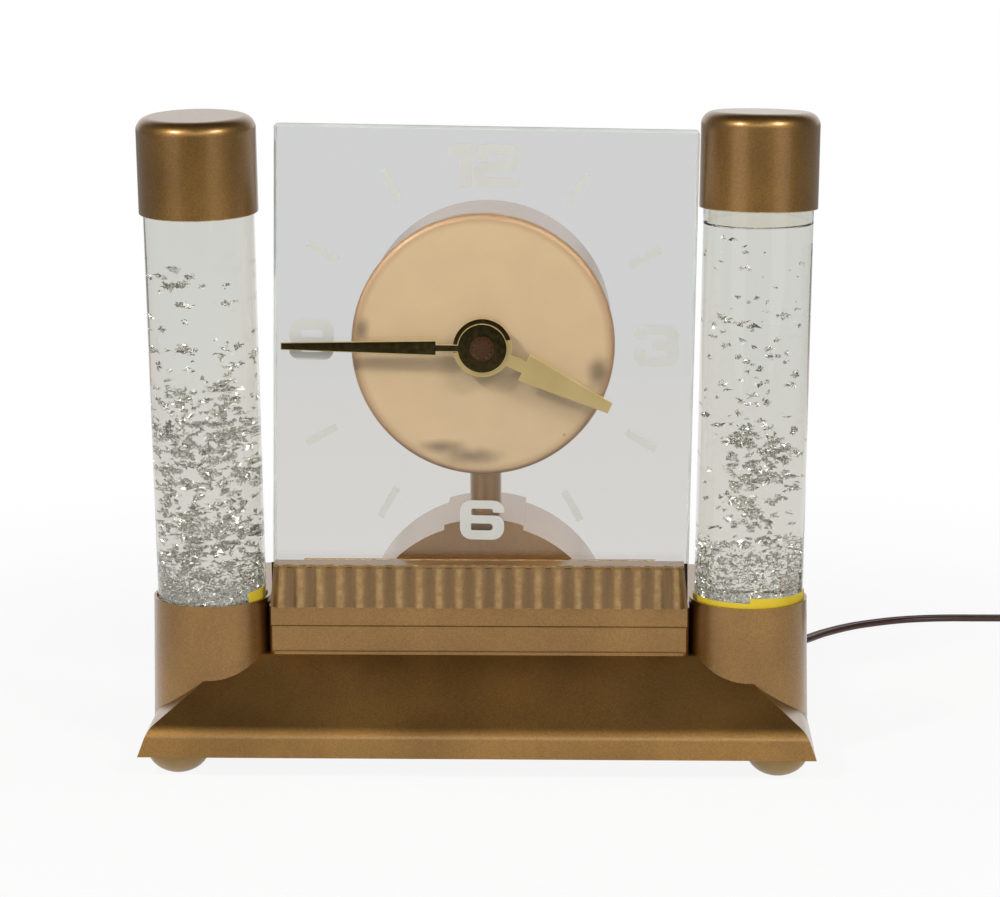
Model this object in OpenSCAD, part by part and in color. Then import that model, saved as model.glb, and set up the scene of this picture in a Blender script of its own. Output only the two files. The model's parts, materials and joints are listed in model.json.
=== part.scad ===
// Mantel motion clock: glass dial plate on a moulded base, with a lit tube of flakes at each end.
// Millimetres. Front faces -Y, the feet stand on z = 0, x and y are centred on the base.

/* [Base] */
// Width of the base moulding at its bottom edge
base_w = 274; // [260:1:300]
// Depth of the base at its bottom edge
base_d = 128; // [122:1:140]
// Height of the feet
foot_h = 9.5; // [7:0.5:14]
// Height of the ledge top above the bottom edge
ledge_h = 53.5; // [50:0.5:58]
// Inset of the sloping moulding at its top
mould_run = 36.5; // [34:0.5:40]
// Height of the sloping moulding
mould_rise = 33.6; // [30:0.2:36]
// Height of the steep lip at the bottom edge
edge_rise = 7; // [5:0.5:8]
// Radius between the lip and the slope
nose_r = 11; // [9:0.5:13]
// Inset of the rear moulding at its top
rear_run = 12; // [10:0.5:14]
// Height of the rear moulding
rear_rise = 20; // [16:0.5:24]
// Wall of the casting, measured level
wall = 3; // [2.4:0.1:3.4]
// Thickness of the sheet cover under the base
cover_t = 1.2; // [1:0.1:2]
// Radius of a foot at its top
foot_r = 12.8; // [10:0.1:13.4]

/* [Cups and tubes] */
// Distance of each tube in from the end of the base
cup_inset = 26.1; // [25:0.1:27]
// Distance of the cups behind the front edge
cup_q = 49.5; // [46:0.5:52]
// Outside radius of a cup at its rim
cup_r = 24.2; // [24:0.1:24.6]
// Height of the cup rim above the bottom edge
cup_h = 56.2; // [55:0.2:60]
// Depth of the tube seat below the rim
seat_depth = 26.3; // [22:0.1:28]
// Outward lean of the left tube in its cup, as found
lean_left = 0.5; // [0:0.1:1.2]
// Outward lean of the right tube in its cup, as found
lean_right = 0.9; // [0:0.1:1.2]
// Forward tip of the left tube in its cup, as found
tip_left = 2.7; // [-2.8:0.1:2.8]
// Forward tip of the right tube in its cup, as found
tip_right = -2; // [-2.8:0.1:2.8]
// Outside radius of the glass tubes
tube_r = 22.4; // [21:0.1:22.5]
// Wall of the glass tubes
tube_wall = 1.6; // [1.2:0.1:2]
// Room between a tube and its cup, taken up by the tape liner
liner_gap = 0.6; // [0.5:0.05:0.7]
// Outside radius of the tube caps
cap_r = 24.1; // [23.8:0.1:24.6]
// Height of a tube cap
cap_h = 39; // [34:0.5:44]
// Height of the cap's lower rim above the cup rim
cap_lift = 160.4; // [150:0.5:170]

/* [Dial] */
// Width of the glass plate
glass_w = 171.5; // [166:0.5:172]
// Height of the glass plate above the hand axis
glass_up = 89.6; // [84:0.2:92]
// Height of the glass plate below the hand axis
glass_down = 105.4; // [104:0.2:105.6]
// Thickness of the glass plate
glass_t = 4.5; // [4:0.1:5]
// Turn of the plate in its slot, as found
glass_turn = 1; // [0:0.1:1]
// Shift of the plate to the right on its clamp, as found
glass_off = 0.4; // [0:0.1:0.6]
// Shift of the case, pedestal and dial to the right of the base, as found
dial_x = 1.7; // [0:0.1:2]
// Height of the hand axis above the bottom edge
axis_h = 160.5; // [159:0.5:163]
// Length of the minute hand
minute_len = 82; // [70:1:84]
// Length of the hour hand
hour_len = 57.6; // [50:0.5:62]
// Clock angle shown by the minute hand
minute_at = 270.6; // [0:0.1:360]
// Clock angle shown by the hour hand
hour_at = 115.5; // [0:0.1:360]
// Number of flutes on the front rail
flutes = 21; // [15:1:21]

/* [Movement case] */
// Radius of the dial disc
disc_r = 53.9; // [53:0.1:55]
// Radius of the case behind the disc
case_r = 52.5; // [51.5:0.1:52.8]
// Depth of the case behind the disc
case_len = 58; // [56:0.5:60]
// Radius of the arched pedestal
arch_r = 52.6; // [51:0.2:54]
// Depth of the arched pedestal
arch_d = 54; // [50:1:56]
// Radius of the support column
column_r = 6.6; // [6:0.1:7]

/* [Clearances] */
// Radial room in running bearings
run_gap = 0.05; // [0.03:0.01:0.08]
// Room around parts that slip together
slip_gap = 0.3; // [0.2:0.05:0.4]

/* [Hidden] */

$fn = 96;
big = 400;

// Colours
bronze = [0.5, 0.39, 0.23];
brass = [0.72, 0.62, 0.36];
steel = [0.62, 0.63, 0.65];
dark = [0.12, 0.1, 0.09];
clear = [0.8, 0.86, 0.88, 0.35];
cream = [0.82, 0.71, 0.55];
copper = [0.72, 0.4, 0.22];
brown = [0.25, 0.16, 0.12];
silver = [0.72, 0.73, 0.75];
yellow = [0.88, 0.76, 0.1];
olive = [0.52, 0.46, 0.3];

// Base levels and depths
half_w = base_w / 2;
half_d = base_d / 2;
ledge_z = foot_h + ledge_h;
rim_z = foot_h + cup_h;
cup_x = half_w - cup_inset;
cup_y = cup_q - half_d;
bore_r = tube_r + liner_gap;
seat_z = rim_z - seat_depth;
seat_t = 2.5;
light_r = 17;
pocket_r = 21.6;
cup_draft = 1.1;
deck_t = 2.5;
end_gap = 0.2;
end_round = 4;
ledge_half = cup_x - cup_r - end_gap;
tube_pivot = 9;
cover_z = foot_h + cover_t;
cover_gap = 0.3;
rear_lip_in = 1.44;
rear_lip_up = 7;
bead_h = 1.2;
bead_set = 1;
band_h = 10.4;
band_set = 0.5;
nose_steps = 8;
slope_a = 36;
edge_a = 20;
boss_r = 5;
boss_top = 13;
boss_in_x = 15;
boss_in_y = 16;
boss_x = half_w - boss_in_x;
boss_y = half_d - boss_in_y;
screw_r = 1.8;
screw_len = 9;
head_r = 3.2;
head_t = 2.4;
head_up = 2.2;
foot_flat_r = 4.8;
foot_from = asin(foot_flat_r / foot_r);
foot_steps = 8;

// Glass, rails and their slot
rail_gap = 0.9;
rail_half = cup_x - cup_r - rail_gap;
rail_draft = 1.6;
rail_h = 18;
rail_back_q = 45.6;
rail_front_q = 35.6;
lip_h = 1;
flute_ends = 0.32;
flute_pitch = (2 * rail_half - flute_ends) / flutes;
ridge_r = 3;
valley_r = 2.15;
valley_out = 3.26;
ridge_mid = 1.88;
glass_q = 46.5;
glass_back_q = glass_q + glass_t;
glass_edge = 1;
glass_corner = 2;
glass_hole_r = 5.4;
cushion_down = 1.2;
back_rail_in = 13;
back_rail_half = rail_half - back_rail_in;
back_rail_t = 2.2;
back_rail_h = 17.4;

// Hand axis and the stack along it, as distances behind the base front
axis_z = foot_h + axis_h;
washer_t = 0.4;
disc_q = glass_back_q + washer_t;
disc_t = 0.8;
disc_edge = 2.4;
skirt_len = 5;
case_wall = 1;
case_q = disc_q + disc_t;
case_end_q = case_q + case_len;
plate_q = disc_q + 4.6;
plate_t = 1.5;
plate_r = 41;
rear_plate_q = plate_q + 22;
bush_r = 5;
bush_bore = 4;
shoulder_r = 7;
nut_t = 1.7;
dial_nut_r = 7.5;
nut_gap = 0.4;
hand_t = 0.8;
hand_gap = 0.6;
hour_q = glass_q - nut_t - nut_gap - hand_t;
minute_q = hour_q - hand_gap - hand_t;
pipe_r = bush_bore - run_gap;
arbor_r = 2.5;
pipe_bore = arbor_r + run_gap;
tip_r = 2;
hand_nut_r = 5;
dome_r = 3.5;
nut_flange = 1.2;
dome_h = 1.6;

// Motion work
mod_a = 2 / 3;
mod_b = 0.64;
mod_c = 0.6;
pair_c = 16;
drive_c = 21;
drive_x = -drive_c * cos(45);
drive_z = drive_c * sin(45);
cannon_n = 12;
minute_n = 36;
pinion_n = 10;
hour_n = 40;
centre_n = 60;
hour_wheel_q = plate_q + 2.2;
hour_wheel_t = 2;
cannon_q = plate_q + 4.8;
cannon_t = 2.4;
centre_q = plate_q + 14;
centre_t = 1.6;
pivot_r = 1.5;
thin_r = 1.2;
pillar_at = 25.5;
pillar_r = 3;
knob_r = 8;
knob_len = 12;
knob_ribs = 16;
knob_rib_r = 0.8;
rotor_r = 13;
rotor_len = 17.5;
rotor_bore_len = 5;
core_q = rear_plate_q + 8;
core_t = 8;
core_half = 19;
core_open = 13.2;
core_top = drive_z + 19;
core_open_top = drive_z + 13.6;
core_low = -30;
core_open_low = -20;
coil_half = 11;
coil_wrap = 6;
post_r = 2;
post_z = 5;

// Pedestal and column
arch_q = 54;
arch_z = foot_h + 32.8;
arch_wall = 2.6;
strap_half = 16.4;
strap_t = 2;
column_q = 80;
column_y = column_q - half_d;
column_bore = 4.5;
thread_r = 5.4;
lock_r = 9;
lock_t = 3;
lock_spare = 1;
collar_low = arch_z + arch_r + strap_t;
collar_top = axis_z - case_r;
low_nut_z = arch_z + sqrt(pow(arch_r - arch_wall, 2) - pow(lock_r, 2)) - lock_t;
top_nut_z = axis_z - sqrt(pow(case_r - case_wall, 2) - pow(lock_r, 2));
lead_hole_r = 7;

// Lamps
lamp_z = foot_h + 15;
lamp_reach = 50.6;
bracket_x = cup_x - lamp_reach;
bracket_t = 1.2;
bracket_w = 16;
bracket_h = 25;
bracket_foot = 18;
socket_len = 23;
socket_r = 8.5;
socket_bore = 6.6;
socket_depth = 16;
bulb_base_r = socket_bore - run_gap;
bulb_r = 10.8;
bulb_in = 3.6;
bulb_neck = 5;
bulb_x = cup_x - bulb_in;
bulb_neck_x = bulb_x - bulb_neck;
bulb_neck_r = 9.5;
slot_half = 12;
slot_top = lamp_z + 10.5;
vent_r = 2;
vent_ring = 9;
vents = 6;
vent_turn = 15;
case_vent_ring = 35;

// Switch on the rear wall
rear_y = half_d - rear_run;
switch_x = -60;
switch_z = foot_h + 38;
switch_w = 14;
switch_h = 20;
switch_deep = 16;
neck_r = 3;
neck_bore = 2;
neck_len = 6;
switch_nut_r = 5.5;
switch_nut_t = 2;
lever_r = 1.2;
lever_len = 9;
lever_ball = 1.7;
lever_tip_r = 1.8;
lever_rest = 12;
lever_in = 2.2;
lever_y = rear_y - wall + neck_len - lever_in;
pin_r = 0.5;
pin_half = neck_r - 0.4;

// Tubes, in the leaning frame whose zero is the middle of the cup rim
tube_low = -seat_depth;
tube_floor = 3;
tube_top = cap_lift + cap_h - 13;
inner_r = tube_r - tube_wall;
bed_top = -1;
fill_left = cap_lift + 6;
fill_right = cap_lift - 7;
fill_tip = 2;
stop_len = 13;
cap_gap = 0.05;
cap_top_t = 2;
cap_round = 5.5;
liner_slack = 0.1;
liner_r = tube_r + liner_slack;
liner_low = -20;

// Mains lead: flat twin, 5.5 wide and 2.8 thick
lead_w = 5.5;
lead_t = 2.8;
lead_x = 92;
lead_z = foot_h + 30;
grommet_r = 4.6;
grommet_flange = 7;
grommet_out = 24;
grommet_end_r = 3.4;
lead_start = rear_y + grommet_out;
lead_floor = 1.5;
coil_x = 297;
coil_y = 159.6;
coil_z = 2.6;
coil_out_r = 41;
coil_pitch = 6.4;
coil_turns = 3.5;
coil_layer = 4.2;
coil_rings = 24;
route = [
    [lead_x, lead_start, lead_z], [93.5, 89, 37], [98, 103, 28], [106, 117, 16], [117, 130, 7],
    [130, 142, 2.6], [143, 155, 1.6], [155, 170.4, lead_floor],
    [168.5, 183.2, lead_floor], [181.2, 191, lead_floor], [193.9, 196.6, lead_floor],
    [206.4, 199.6, lead_floor], [218.7, 200.8, lead_floor], [231, 200.9, lead_floor],
    [250, 200.6, 1.7], [272, 200.6, 2.3], [coil_x - lead_w, coil_y + coil_out_r, coil_z]
];
route_steps = 2;
lead_shape = [
    [2.75, 0], [2.35, 1], [1.35, 1.4], [0, 0.95], [-1.35, 1.4], [-2.35, 1],
    [-2.75, 0], [-2.35, -1], [-1.35, -1.4], [0, -0.95], [1.35, -1.4], [2.35, -1]
];
coil_shape = [
    [2.75, 0], [1.75, 1.35], [0, 1], [-1.75, 1.35], [-2.75, 0], [-1.75, -1.35], [0, -1], [1.75, -1.35]
];
lobe_at = 1.35;
lobe_r = 1.4;
boot_len = 22;
boot_r = 4.2;
boot_end_r = 3;
plug_len = 26;
plug_w = 22;
plug_t = 11.5;
blade_len = 17;
blade_w = 6.3;
blade_t = 1.5;
blade_gap = 12.7;
blade_root = 6;
plug_x = coil_x + lead_w;
plug_z = coil_z + coil_layer;
tie_half = 3;
tie_t = 0.8;
tie_in = 12;
tie_out = 47;
tie_low = coil_z - lead_t / 2 - tie_t - 0.2;
tie_top = coil_z + coil_layer + lead_t / 2 + tie_t + 0.4;

// Distance behind the base front edge as a y value
function q(v) = v - half_d;

// Outline of the moulding: inset against height, from the bottom edge to the top of the slope
edge_run = edge_rise * tan(edge_a);
function nose() = [
    for (i = [0 : nose_steps])
        let (a = edge_a + (90 - slope_a - edge_a) * i / nose_steps)
        [edge_run + nose_r * (cos(edge_a) - cos(a)), edge_rise + nose_r * (sin(a) - sin(edge_a))]
];
function moulding() = concat([[0, 0]], nose(), [[mould_run, mould_rise]]);
function rear_moulding() = [[0, 0], [rear_lip_in, rear_lip_up], [rear_run, rear_rise]];
function inward(pts, d) = [for (p = pts) [p[0] + d, p[1]]];
function flip(pts) = [for (i = [len(pts) - 1 : -1 : 0]) pts[i]];

// Section through the depth: y against height above the bottom edge
function depth_section() = concat(
    [for (p = moulding()) [p[0] - half_d, p[1]]],
    [
        [mould_run - half_d, mould_rise + bead_h],
        [mould_run + bead_set - half_d, mould_rise + bead_h],
        [mould_run + bead_set - half_d, mould_rise + bead_h + band_h],
        [mould_run + bead_set + band_set - half_d, mould_rise + bead_h + band_h + band_set],
        [mould_run + bead_set + band_set - half_d, ledge_h],
        [half_d - rear_run, ledge_h]
    ],
    flip([for (p = rear_moulding()) [half_d - p[0], p[1]]])
);
// Section across the width: x against height above the bottom edge
function width_section() = concat(
    [for (p = moulding()) [p[0] - half_w, p[1]]],
    [[mould_run - half_w, ledge_h], [half_w - mould_run, ledge_h]],
    flip([for (p = moulding()) [half_w - p[0], p[1]]])
);
function hollow_depth() = concat(
    [[wall - half_d, -1]],
    [for (p = inward(moulding(), wall)) [p[0] - half_d, p[1]]],
    [[mould_run + wall + bead_set - half_d, ledge_h - deck_t], [half_d - rear_run - wall, ledge_h - deck_t]],
    flip([for (p = inward(rear_moulding(), wall)) [half_d - p[0], p[1]]]),
    [[half_d - wall, -1]]
);
function hollow_width() = concat(
    [[wall - half_w, -1]],
    [for (p = inward(moulding(), wall)) [p[0] - half_w, p[1]]],
    [[mould_run + wall - half_w, ledge_h], [half_w - mould_run - wall, ledge_h]],
    flip([for (p = inward(moulding(), wall)) [half_w - p[0], p[1]]]),
    [[half_w - wall, -1]]
);

// Extrude a y-z outline along x, an x-z outline along y, and a round bar along y
module along_x(pts, l) {
    translate([-l / 2, 0, 0])
        rotate([90, 0, 90])
            linear_extrude(l)
                polygon(pts);
}
module along_y(pts, l) {
    translate([0, l / 2, 0])
        rotate([90, 0, 0])
            linear_extrude(l)
                polygon(pts);
}
module bar_y(r, q0, q1, r_end = 0) {
    translate([0, q(q0), 0])
        rotate([-90, 0, 0])
            cylinder(r1 = r, r2 = r_end > 0 ? r_end : r, h = q1 - q0);
}
module at_axis(x = 0, z = 0) {
    translate([dial_x + x, 0, axis_z + z])
        children();
}
module both_sides() {
    children();
    mirror([1, 0, 0])
        children();
}
// Leaning frame of one tube: side is -1 for left, 1 for right
module at_tube(side) {
    tip = side < 0 ? tip_left : tip_right;
    lean = side < 0 ? -lean_left : lean_right;
    translate([side * cup_x, cup_y, rim_z - tube_pivot])
        rotate([tip, lean, 0])
            translate([0, 0, tube_pivot])
                children();
}
module four_corners() {
    for (x = [-1, 1])
        for (y = [-1, 1])
            translate([x * boss_x, y * boss_y, 0])
                children();
}

// Base casting with cups, ledge and screw bosses
module base_outer() {
    translate([0, 0, foot_h])
        difference() {
            intersection() {
                along_x(depth_section(), base_w);
                along_y(width_section(), base_d);
            }
            difference() {
                ledge_corner(ledge_half - end_round, cup_q, mould_rise);
                ledge_plan();
            }
        }
}
module base_hollow() {
    translate([0, 0, foot_h])
        difference() {
            intersection() {
                along_x(hollow_depth(), base_w);
                along_y(hollow_width(), base_d);
            }
            ledge_corner(ledge_half - wall, cup_q + wall, mould_rise - deck_t);
        }
}
// Space in front of each cup beside the ledge, and the rounded plan of the ledge that stays out of it
module ledge_corner(x0, q1, z0) {
    both_sides()
        translate([x0, q(0), z0])
            cube([cup_x - x0, q1, big]);
}
module ledge_plan() {
    x = ledge_half - end_round;
    linear_extrude(big)
        hull() {
            for (s = [-1, 1])
                translate([s * x, q(mould_run) + end_round])
                    circle(r = end_round);
            translate([-ledge_half, q(mould_run) + end_round])
                square([2 * ledge_half, base_d / 2]);
        }
}
module cup_outer(side) {
    translate([side * cup_x, cup_y, foot_h])
        cylinder(r1 = cup_r + cup_draft, r2 = cup_r, h = cup_h);
}
module lamp_pocket(side) {
    translate([side * cup_x, cup_y, 0])
        cylinder(r = pocket_r, h = seat_z - seat_t);
    translate([side * (cup_x - pocket_r), cup_y, slot_top / 2])
        cube([pocket_r, 2 * slot_half, slot_top], center = true);
}
module cover_outline(gap, z0, t) {
    translate([gap + wall - half_w, gap + wall - half_d, z0])
        cube([base_w - 2 * (wall + gap), base_d - 2 * (wall + gap), t]);
}
module base_shell() {
    color(bronze)
        difference() {
            union() {
                difference() {
                    base_outer();
                    base_hollow();
                }
                for (s = [-1, 1])
                    cup_outer(s);
                intersection() {
                    base_outer();
                    four_corners()
                        cylinder(r = boss_r, h = foot_h + boss_top);
                }
            }
            for (s = [-1, 1]) {
                at_tube(s)
                    translate([0, 0, -seat_depth])
                        cylinder(r = bore_r, h = big);
                translate([s * cup_x, cup_y, 0])
                    cylinder(r = light_r, h = rim_z);
                lamp_pocket(s);
            }
            cover_outline(0, 0, cover_z);
            four_corners()
                cylinder(r = screw_r + run_gap, h = cover_z + screw_len);
            translate([dial_x, column_y, 0])
                cylinder(r = lead_hole_r, h = big);
            translate([switch_x, 0, switch_z])
                rotate([-90, 0, 0])
                    cylinder(r = neck_r + run_gap, h = big);
            translate([lead_x, 0, lead_z])
                rotate([-90, 0, 0])
                    cylinder(r = grommet_r + run_gap, h = big);
        }
}
module base_cover() {
    color(dark)
        difference() {
            cover_outline(cover_gap, foot_h, cover_t);
            four_corners()
                cylinder(r = screw_r + slip_gap, h = big);
            for (s = [-1, 1])
                for (i = [0 : vents - 1])
                    translate([s * cup_x, cup_y, 0])
                        rotate([0, 0, i * 360 / vents])
                            translate([vent_ring, 0, 0])
                                cylinder(r = vent_r, h = big, $fn = 32);
        }
}
module foot_shape() {
    rotate_extrude()
        polygon(concat(
            [[0, 0]],
            [
                for (i = [0 : foot_steps])
                    let (a = foot_from + (90 - foot_from) * i / foot_steps)
                    [foot_r * sin(a), foot_h * (1 - cos(a) / cos(foot_from))]
            ],
            [[0, foot_h]]
        ));
}
module feet() {
    color(olive)
        four_corners()
            difference() {
                foot_shape();
                cylinder(r = head_r + slip_gap, h = 2 * (head_t + head_up), center = true);
                cylinder(r = screw_r + slip_gap, h = big, center = true);
            }
}
module foot_screws() {
    color(steel)
        four_corners()
            translate([0, 0, head_up]) {
                cylinder(r = head_r, h = head_t);
                cylinder(r = screw_r, h = cover_z + screw_len - head_up - 1);
            }
}

// Fluted rail, cushion, back rail and the glass plate they hold
module flute_row() {
    for (i = [0 : flutes - 1])
        translate([(i - (flutes - 1) / 2) * flute_pitch, 0, 0])
            children();
}
module rail_block(q0, q1, z0, z1) {
    translate([-rail_half, q(q0), z0])
        cube([2 * rail_half, q1 - q0, z1 - z0]);
}
module fluted_rail() {
    ridge_q = rail_front_q + ridge_r;
    top = ledge_z + rail_h;
    color(bronze)
        difference() {
            union() {
                rail_block(ridge_q - ridge_mid, rail_back_q, ledge_z, top);
                flute_row()
                    translate([0, q(ridge_q), ledge_z])
                        cylinder(r = ridge_r, h = rail_h, $fn = 48);
            }
            intersection() {
                for (i = [0 : flutes])
                    translate([(i - flutes / 2) * flute_pitch, q(ridge_q - valley_out), ledge_z - 1])
                        cylinder(r = valley_r, h = rail_h + 1 - lip_h, $fn = 48);
                rail_block(0, rail_back_q, ledge_z - 1, top);
            }
            both_sides()
                translate([rail_half, 0, ledge_z])
                    rotate([0, -atan(rail_draft / rail_h), 0])
                        translate([0, -big / 2, -big / 2])
                            cube([big, big, big]);
        }
}
module glass_cushion() {
    color(dark)
        rail_block(rail_back_q, glass_q, ledge_z, ledge_z + rail_h - cushion_down);
}
module glass_back_rail() {
    color(bronze)
        translate([-back_rail_half, q(glass_back_q), ledge_z])
            cube([2 * back_rail_half, back_rail_t, back_rail_h]);
}
module glass_outline() {
    x = glass_w / 2 - glass_corner;
    square_h = glass_up + glass_down;
    translate([-x, -glass_down])
        square([2 * x, square_h]);
    translate([-glass_w / 2, glass_corner - glass_down])
        square([glass_w, square_h - 2 * glass_corner]);
    for (sx = [-1, 1])
        for (z = [glass_corner - glass_down, glass_up - glass_corner])
            translate([sx * x, z])
                circle(r = glass_corner, $fn = 32);
}
function chamfered(a, b) = [
    [a, q(glass_q) + glass_edge], [a + glass_edge, q(glass_q)], [b - glass_edge, q(glass_q)],
    [b, q(glass_q) + glass_edge], [b, q(glass_back_q) - glass_edge], [b - glass_edge, q(glass_back_q)],
    [a + glass_edge, q(glass_back_q)], [a, q(glass_back_q) - glass_edge]
];
function swapped(pts) = [for (p = pts) [p[1], p[0]]];
module dial_glass() {
    color(clear)
        at_axis()
            rotate([0, glass_turn, 0])
                difference() {
                    translate([glass_off, 0, 0])
                        intersection() {
                            translate([0, q(glass_back_q), 0])
                                rotate([90, 0, 0])
                                    linear_extrude(glass_t)
                                        glass_outline();
                            translate([0, 0, -big / 2])
                                linear_extrude(big)
                                    polygon(chamfered(-glass_w / 2, glass_w / 2));
                            along_x(swapped(chamfered(-glass_down, glass_up)), big);
                        }
                    bar_y(glass_hole_r, 0, base_d);
                }
}

// Arched pedestal and the column that carries the movement case
module arch_bar(r, q0, q1) {
    translate([dial_x, 0, arch_z])
        bar_y(r, q0, q1);
}
module pedestal() {
    end_q = arch_q + arch_d;
    color(bronze)
        difference() {
            union() {
                arch_bar(arch_r, arch_q, end_q);
                intersection() {
                    arch_bar(arch_r + strap_t, arch_q, end_q);
                    translate([dial_x - strap_half, -big / 2, 0])
                        cube([2 * strap_half, big, big]);
                }
            }
            arch_bar(arch_r - arch_wall, arch_q + arch_wall, end_q - arch_wall);
            translate([-big / 2, -big / 2, ledge_z - big])
                cube([big, big, big]);
            translate([dial_x, column_y, 0])
                cylinder(r = thread_r + run_gap, h = big);
        }
}
module support_column() {
    thread_low = low_nut_z - lock_spare;
    thread_top = top_nut_z + lock_t + lock_spare;
    color(bronze)
        translate([dial_x, column_y, 0])
            difference() {
                union() {
                    translate([0, 0, thread_low])
                        cylinder(r = thread_r, h = thread_top - thread_low);
                    translate([0, 0, collar_low])
                        cylinder(r = column_r, h = collar_top - collar_low);
                }
                cylinder(r = column_bore, h = big);
            }
}
module lock_nut(z) {
    translate([dial_x, column_y, z])
        difference() {
            cylinder(r = lock_r, h = lock_t, $fn = 6);
            translate([0, 0, -1])
                cylinder(r = thread_r, h = lock_t + 2);
        }
}
module column_nuts() {
    color(steel) {
        lock_nut(low_nut_z);
        lock_nut(top_nut_z);
    }
}

// Movement case, dial disc and the parts clamped on the hand axis
module motor_case() {
    end_q = case_end_q;
    color(bronze)
        difference() {
            at_axis()
                difference() {
                    bar_y(case_r, case_q, end_q);
                    bar_y(case_r - case_wall, case_q - 1, end_q - case_wall);
                    translate([pair_c, 0, -pair_c])
                        bar_y(pivot_r + slip_gap, case_q, base_d);
                    for (i = [0 : vents - 1])
                        rotate([0, i * 360 / vents + vent_turn, 0])
                            translate([0, 0, case_vent_ring])
                                bar_y(2 * vent_r, case_q, base_d);
                }
            translate([dial_x, column_y, 0])
                cylinder(r = thread_r + run_gap, h = axis_z);
        }
}
module dial_disc() {
    rim = disc_r - disc_edge;
    color(cream)
        at_axis()
            translate([0, q(disc_q), 0])
                rotate([-90, 0, 0])
                    difference() {
                        rotate_extrude() {
                            square([rim, disc_edge]);
                            translate([0, disc_edge])
                                square([disc_r, skirt_len - disc_edge]);
                            translate([rim, disc_edge])
                                circle(r = disc_edge, $fn = 48);
                        }
                        translate([0, 0, disc_t])
                            cylinder(r = case_r + run_gap, h = skirt_len);
                        cylinder(r = bush_r + run_gap, h = big, center = true);
                    }
}
module washer_y(r_out, r_in, q0, q1) {
    at_axis()
        difference() {
            bar_y(r_out, q0, q1);
            bar_y(r_in, q0 - 1, q1 + 1);
        }
}
module glass_washer() {
    color(dark)
        washer_y(dial_nut_r, bush_r + run_gap, glass_back_q, disc_q);
}
module dial_nut() {
    color(brass)
        washer_y(dial_nut_r, bush_r, glass_q - nut_t, glass_q);
}

// Toothed wheel outline: pitch radius n * m / 2, slim straight teeth with working backlash
tooth_up = 0.62;
tooth_down = 1.1;
tooth_root = 0.36;
tooth_tip = 0.13;
function wheel_ring(n, m) = [
    for (i = [0 : n - 1], k = [0 : 3])
        let (
            side = [-tooth_root, -tooth_tip, tooth_tip, tooth_root][k],
            reach = [-tooth_down, tooth_up, tooth_up, -tooth_down][k],
            r = n * m / 2 + reach * m,
            a = (i + side) * 360 / n
        )
        [r * cos(a), r * sin(a)]
];
module wheel(n, m, q0, t, phase = 0) {
    translate([0, q(q0) + t, 0])
        rotate([90, 0, 0])
            rotate([0, 0, phase])
                linear_extrude(t)
                    polygon(wheel_ring(n, m));
}
module front_plate() {
    color(brass)
        at_axis()
            difference() {
                union() {
                    bar_y(plate_r, plate_q, plate_q + plate_t);
                    bar_y(shoulder_r, disc_q + disc_t, plate_q + plate_t);
                    bar_y(bush_r, glass_q - nut_t, plate_q + plate_t);
                }
                bar_y(bush_bore, 0, base_d);
                translate([pair_c, 0, 0])
                    bar_y(thin_r + run_gap, 0, base_d);
                translate([pair_c, 0, -pair_c])
                    bar_y(pivot_r + run_gap, 0, base_d);
            }
}
module rear_plate() {
    color(brass)
        at_axis()
            difference() {
                bar_y(plate_r, rear_plate_q, rear_plate_q + plate_t);
                bar_y(pivot_r + run_gap, 0, base_d);
                translate([pair_c, 0, -pair_c])
                    bar_y(pivot_r + run_gap, 0, base_d);
                translate([drive_x, 0, drive_z])
                    bar_y(thin_r + run_gap, 0, base_d);
            }
}
module plate_pillars() {
    color(steel)
        at_axis()
            for (x = [-1, 1])
                for (z = [-1, 1])
                    translate([x * pillar_at, 0, z * pillar_at])
                        bar_y(pillar_r, plate_q + plate_t, rear_plate_q);
}
module rotor_case() {
    face = rear_plate_q + plate_t;
    color(copper)
        at_axis(drive_x, drive_z)
            difference() {
                bar_y(rotor_r, face, face + rotor_len);
                bar_y(thin_r + run_gap, face - 1, face + rotor_bore_len);
            }
}
module core_box(half, z0, z1, q0, t) {
    translate([drive_x - half, q(q0), z0])
        cube([2 * half, t, z1 - z0]);
}
module stator_core() {
    color(steel)
        at_axis()
            difference() {
                core_box(core_half, core_low, core_top, core_q, core_t);
                core_box(core_open, core_open_low, core_open_top, core_q - 1, core_t + 2);
            }
}
module field_coil() {
    color(copper)
        at_axis()
            difference() {
                core_box(coil_half, core_low - coil_wrap, core_open_low + coil_wrap,
                         core_q - coil_wrap, core_t + 2 * coil_wrap);
                core_box(core_half, core_low, core_open_low, core_q, core_t);
            }
}
module core_posts() {
    color(steel)
        at_axis()
            for (s = [-1, 1])
                translate([drive_x + s * (core_half + core_open) / 2, 0, post_z])
                    bar_y(post_r, rear_plate_q + plate_t, core_q);
}

// Hands and the wheels that turn them
module minute_arbor() {
    color(brass)
        at_axis() {
            bar_y(tip_r, minute_q - nut_flange - dome_h, minute_q + hand_t);
            bar_y(arbor_r, minute_q + hand_t, cannon_q + cannon_t);
            bar_y(tip_r, cannon_q, rear_plate_q - slip_gap);
            bar_y(pivot_r, cannon_q, rear_plate_q + plate_t + slip_gap);
            wheel(cannon_n, mod_a, cannon_q, cannon_t, 0);
            wheel(centre_n, mod_c, centre_q, centre_t, 135);
        }
}
module hand_blade(at, boss, neck_w, root, root_w, tip_w, l, q0, bore) {
    at_axis()
        rotate([0, at, 0])
            translate([0, q(q0) + hand_t, 0])
                rotate([90, 0, 0])
                    linear_extrude(hand_t)
                        difference() {
                            union() {
                                circle(r = boss);
                                translate([-neck_w / 2, 0])
                                    square([neck_w, root]);
                                polygon([
                                    [-root_w / 2, root], [root_w / 2, root], [tip_w / 2, l], [-tip_w / 2, l]
                                ]);
                            }
                            circle(r = bore);
                        }
}
minute_boss = 10.2;
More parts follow.
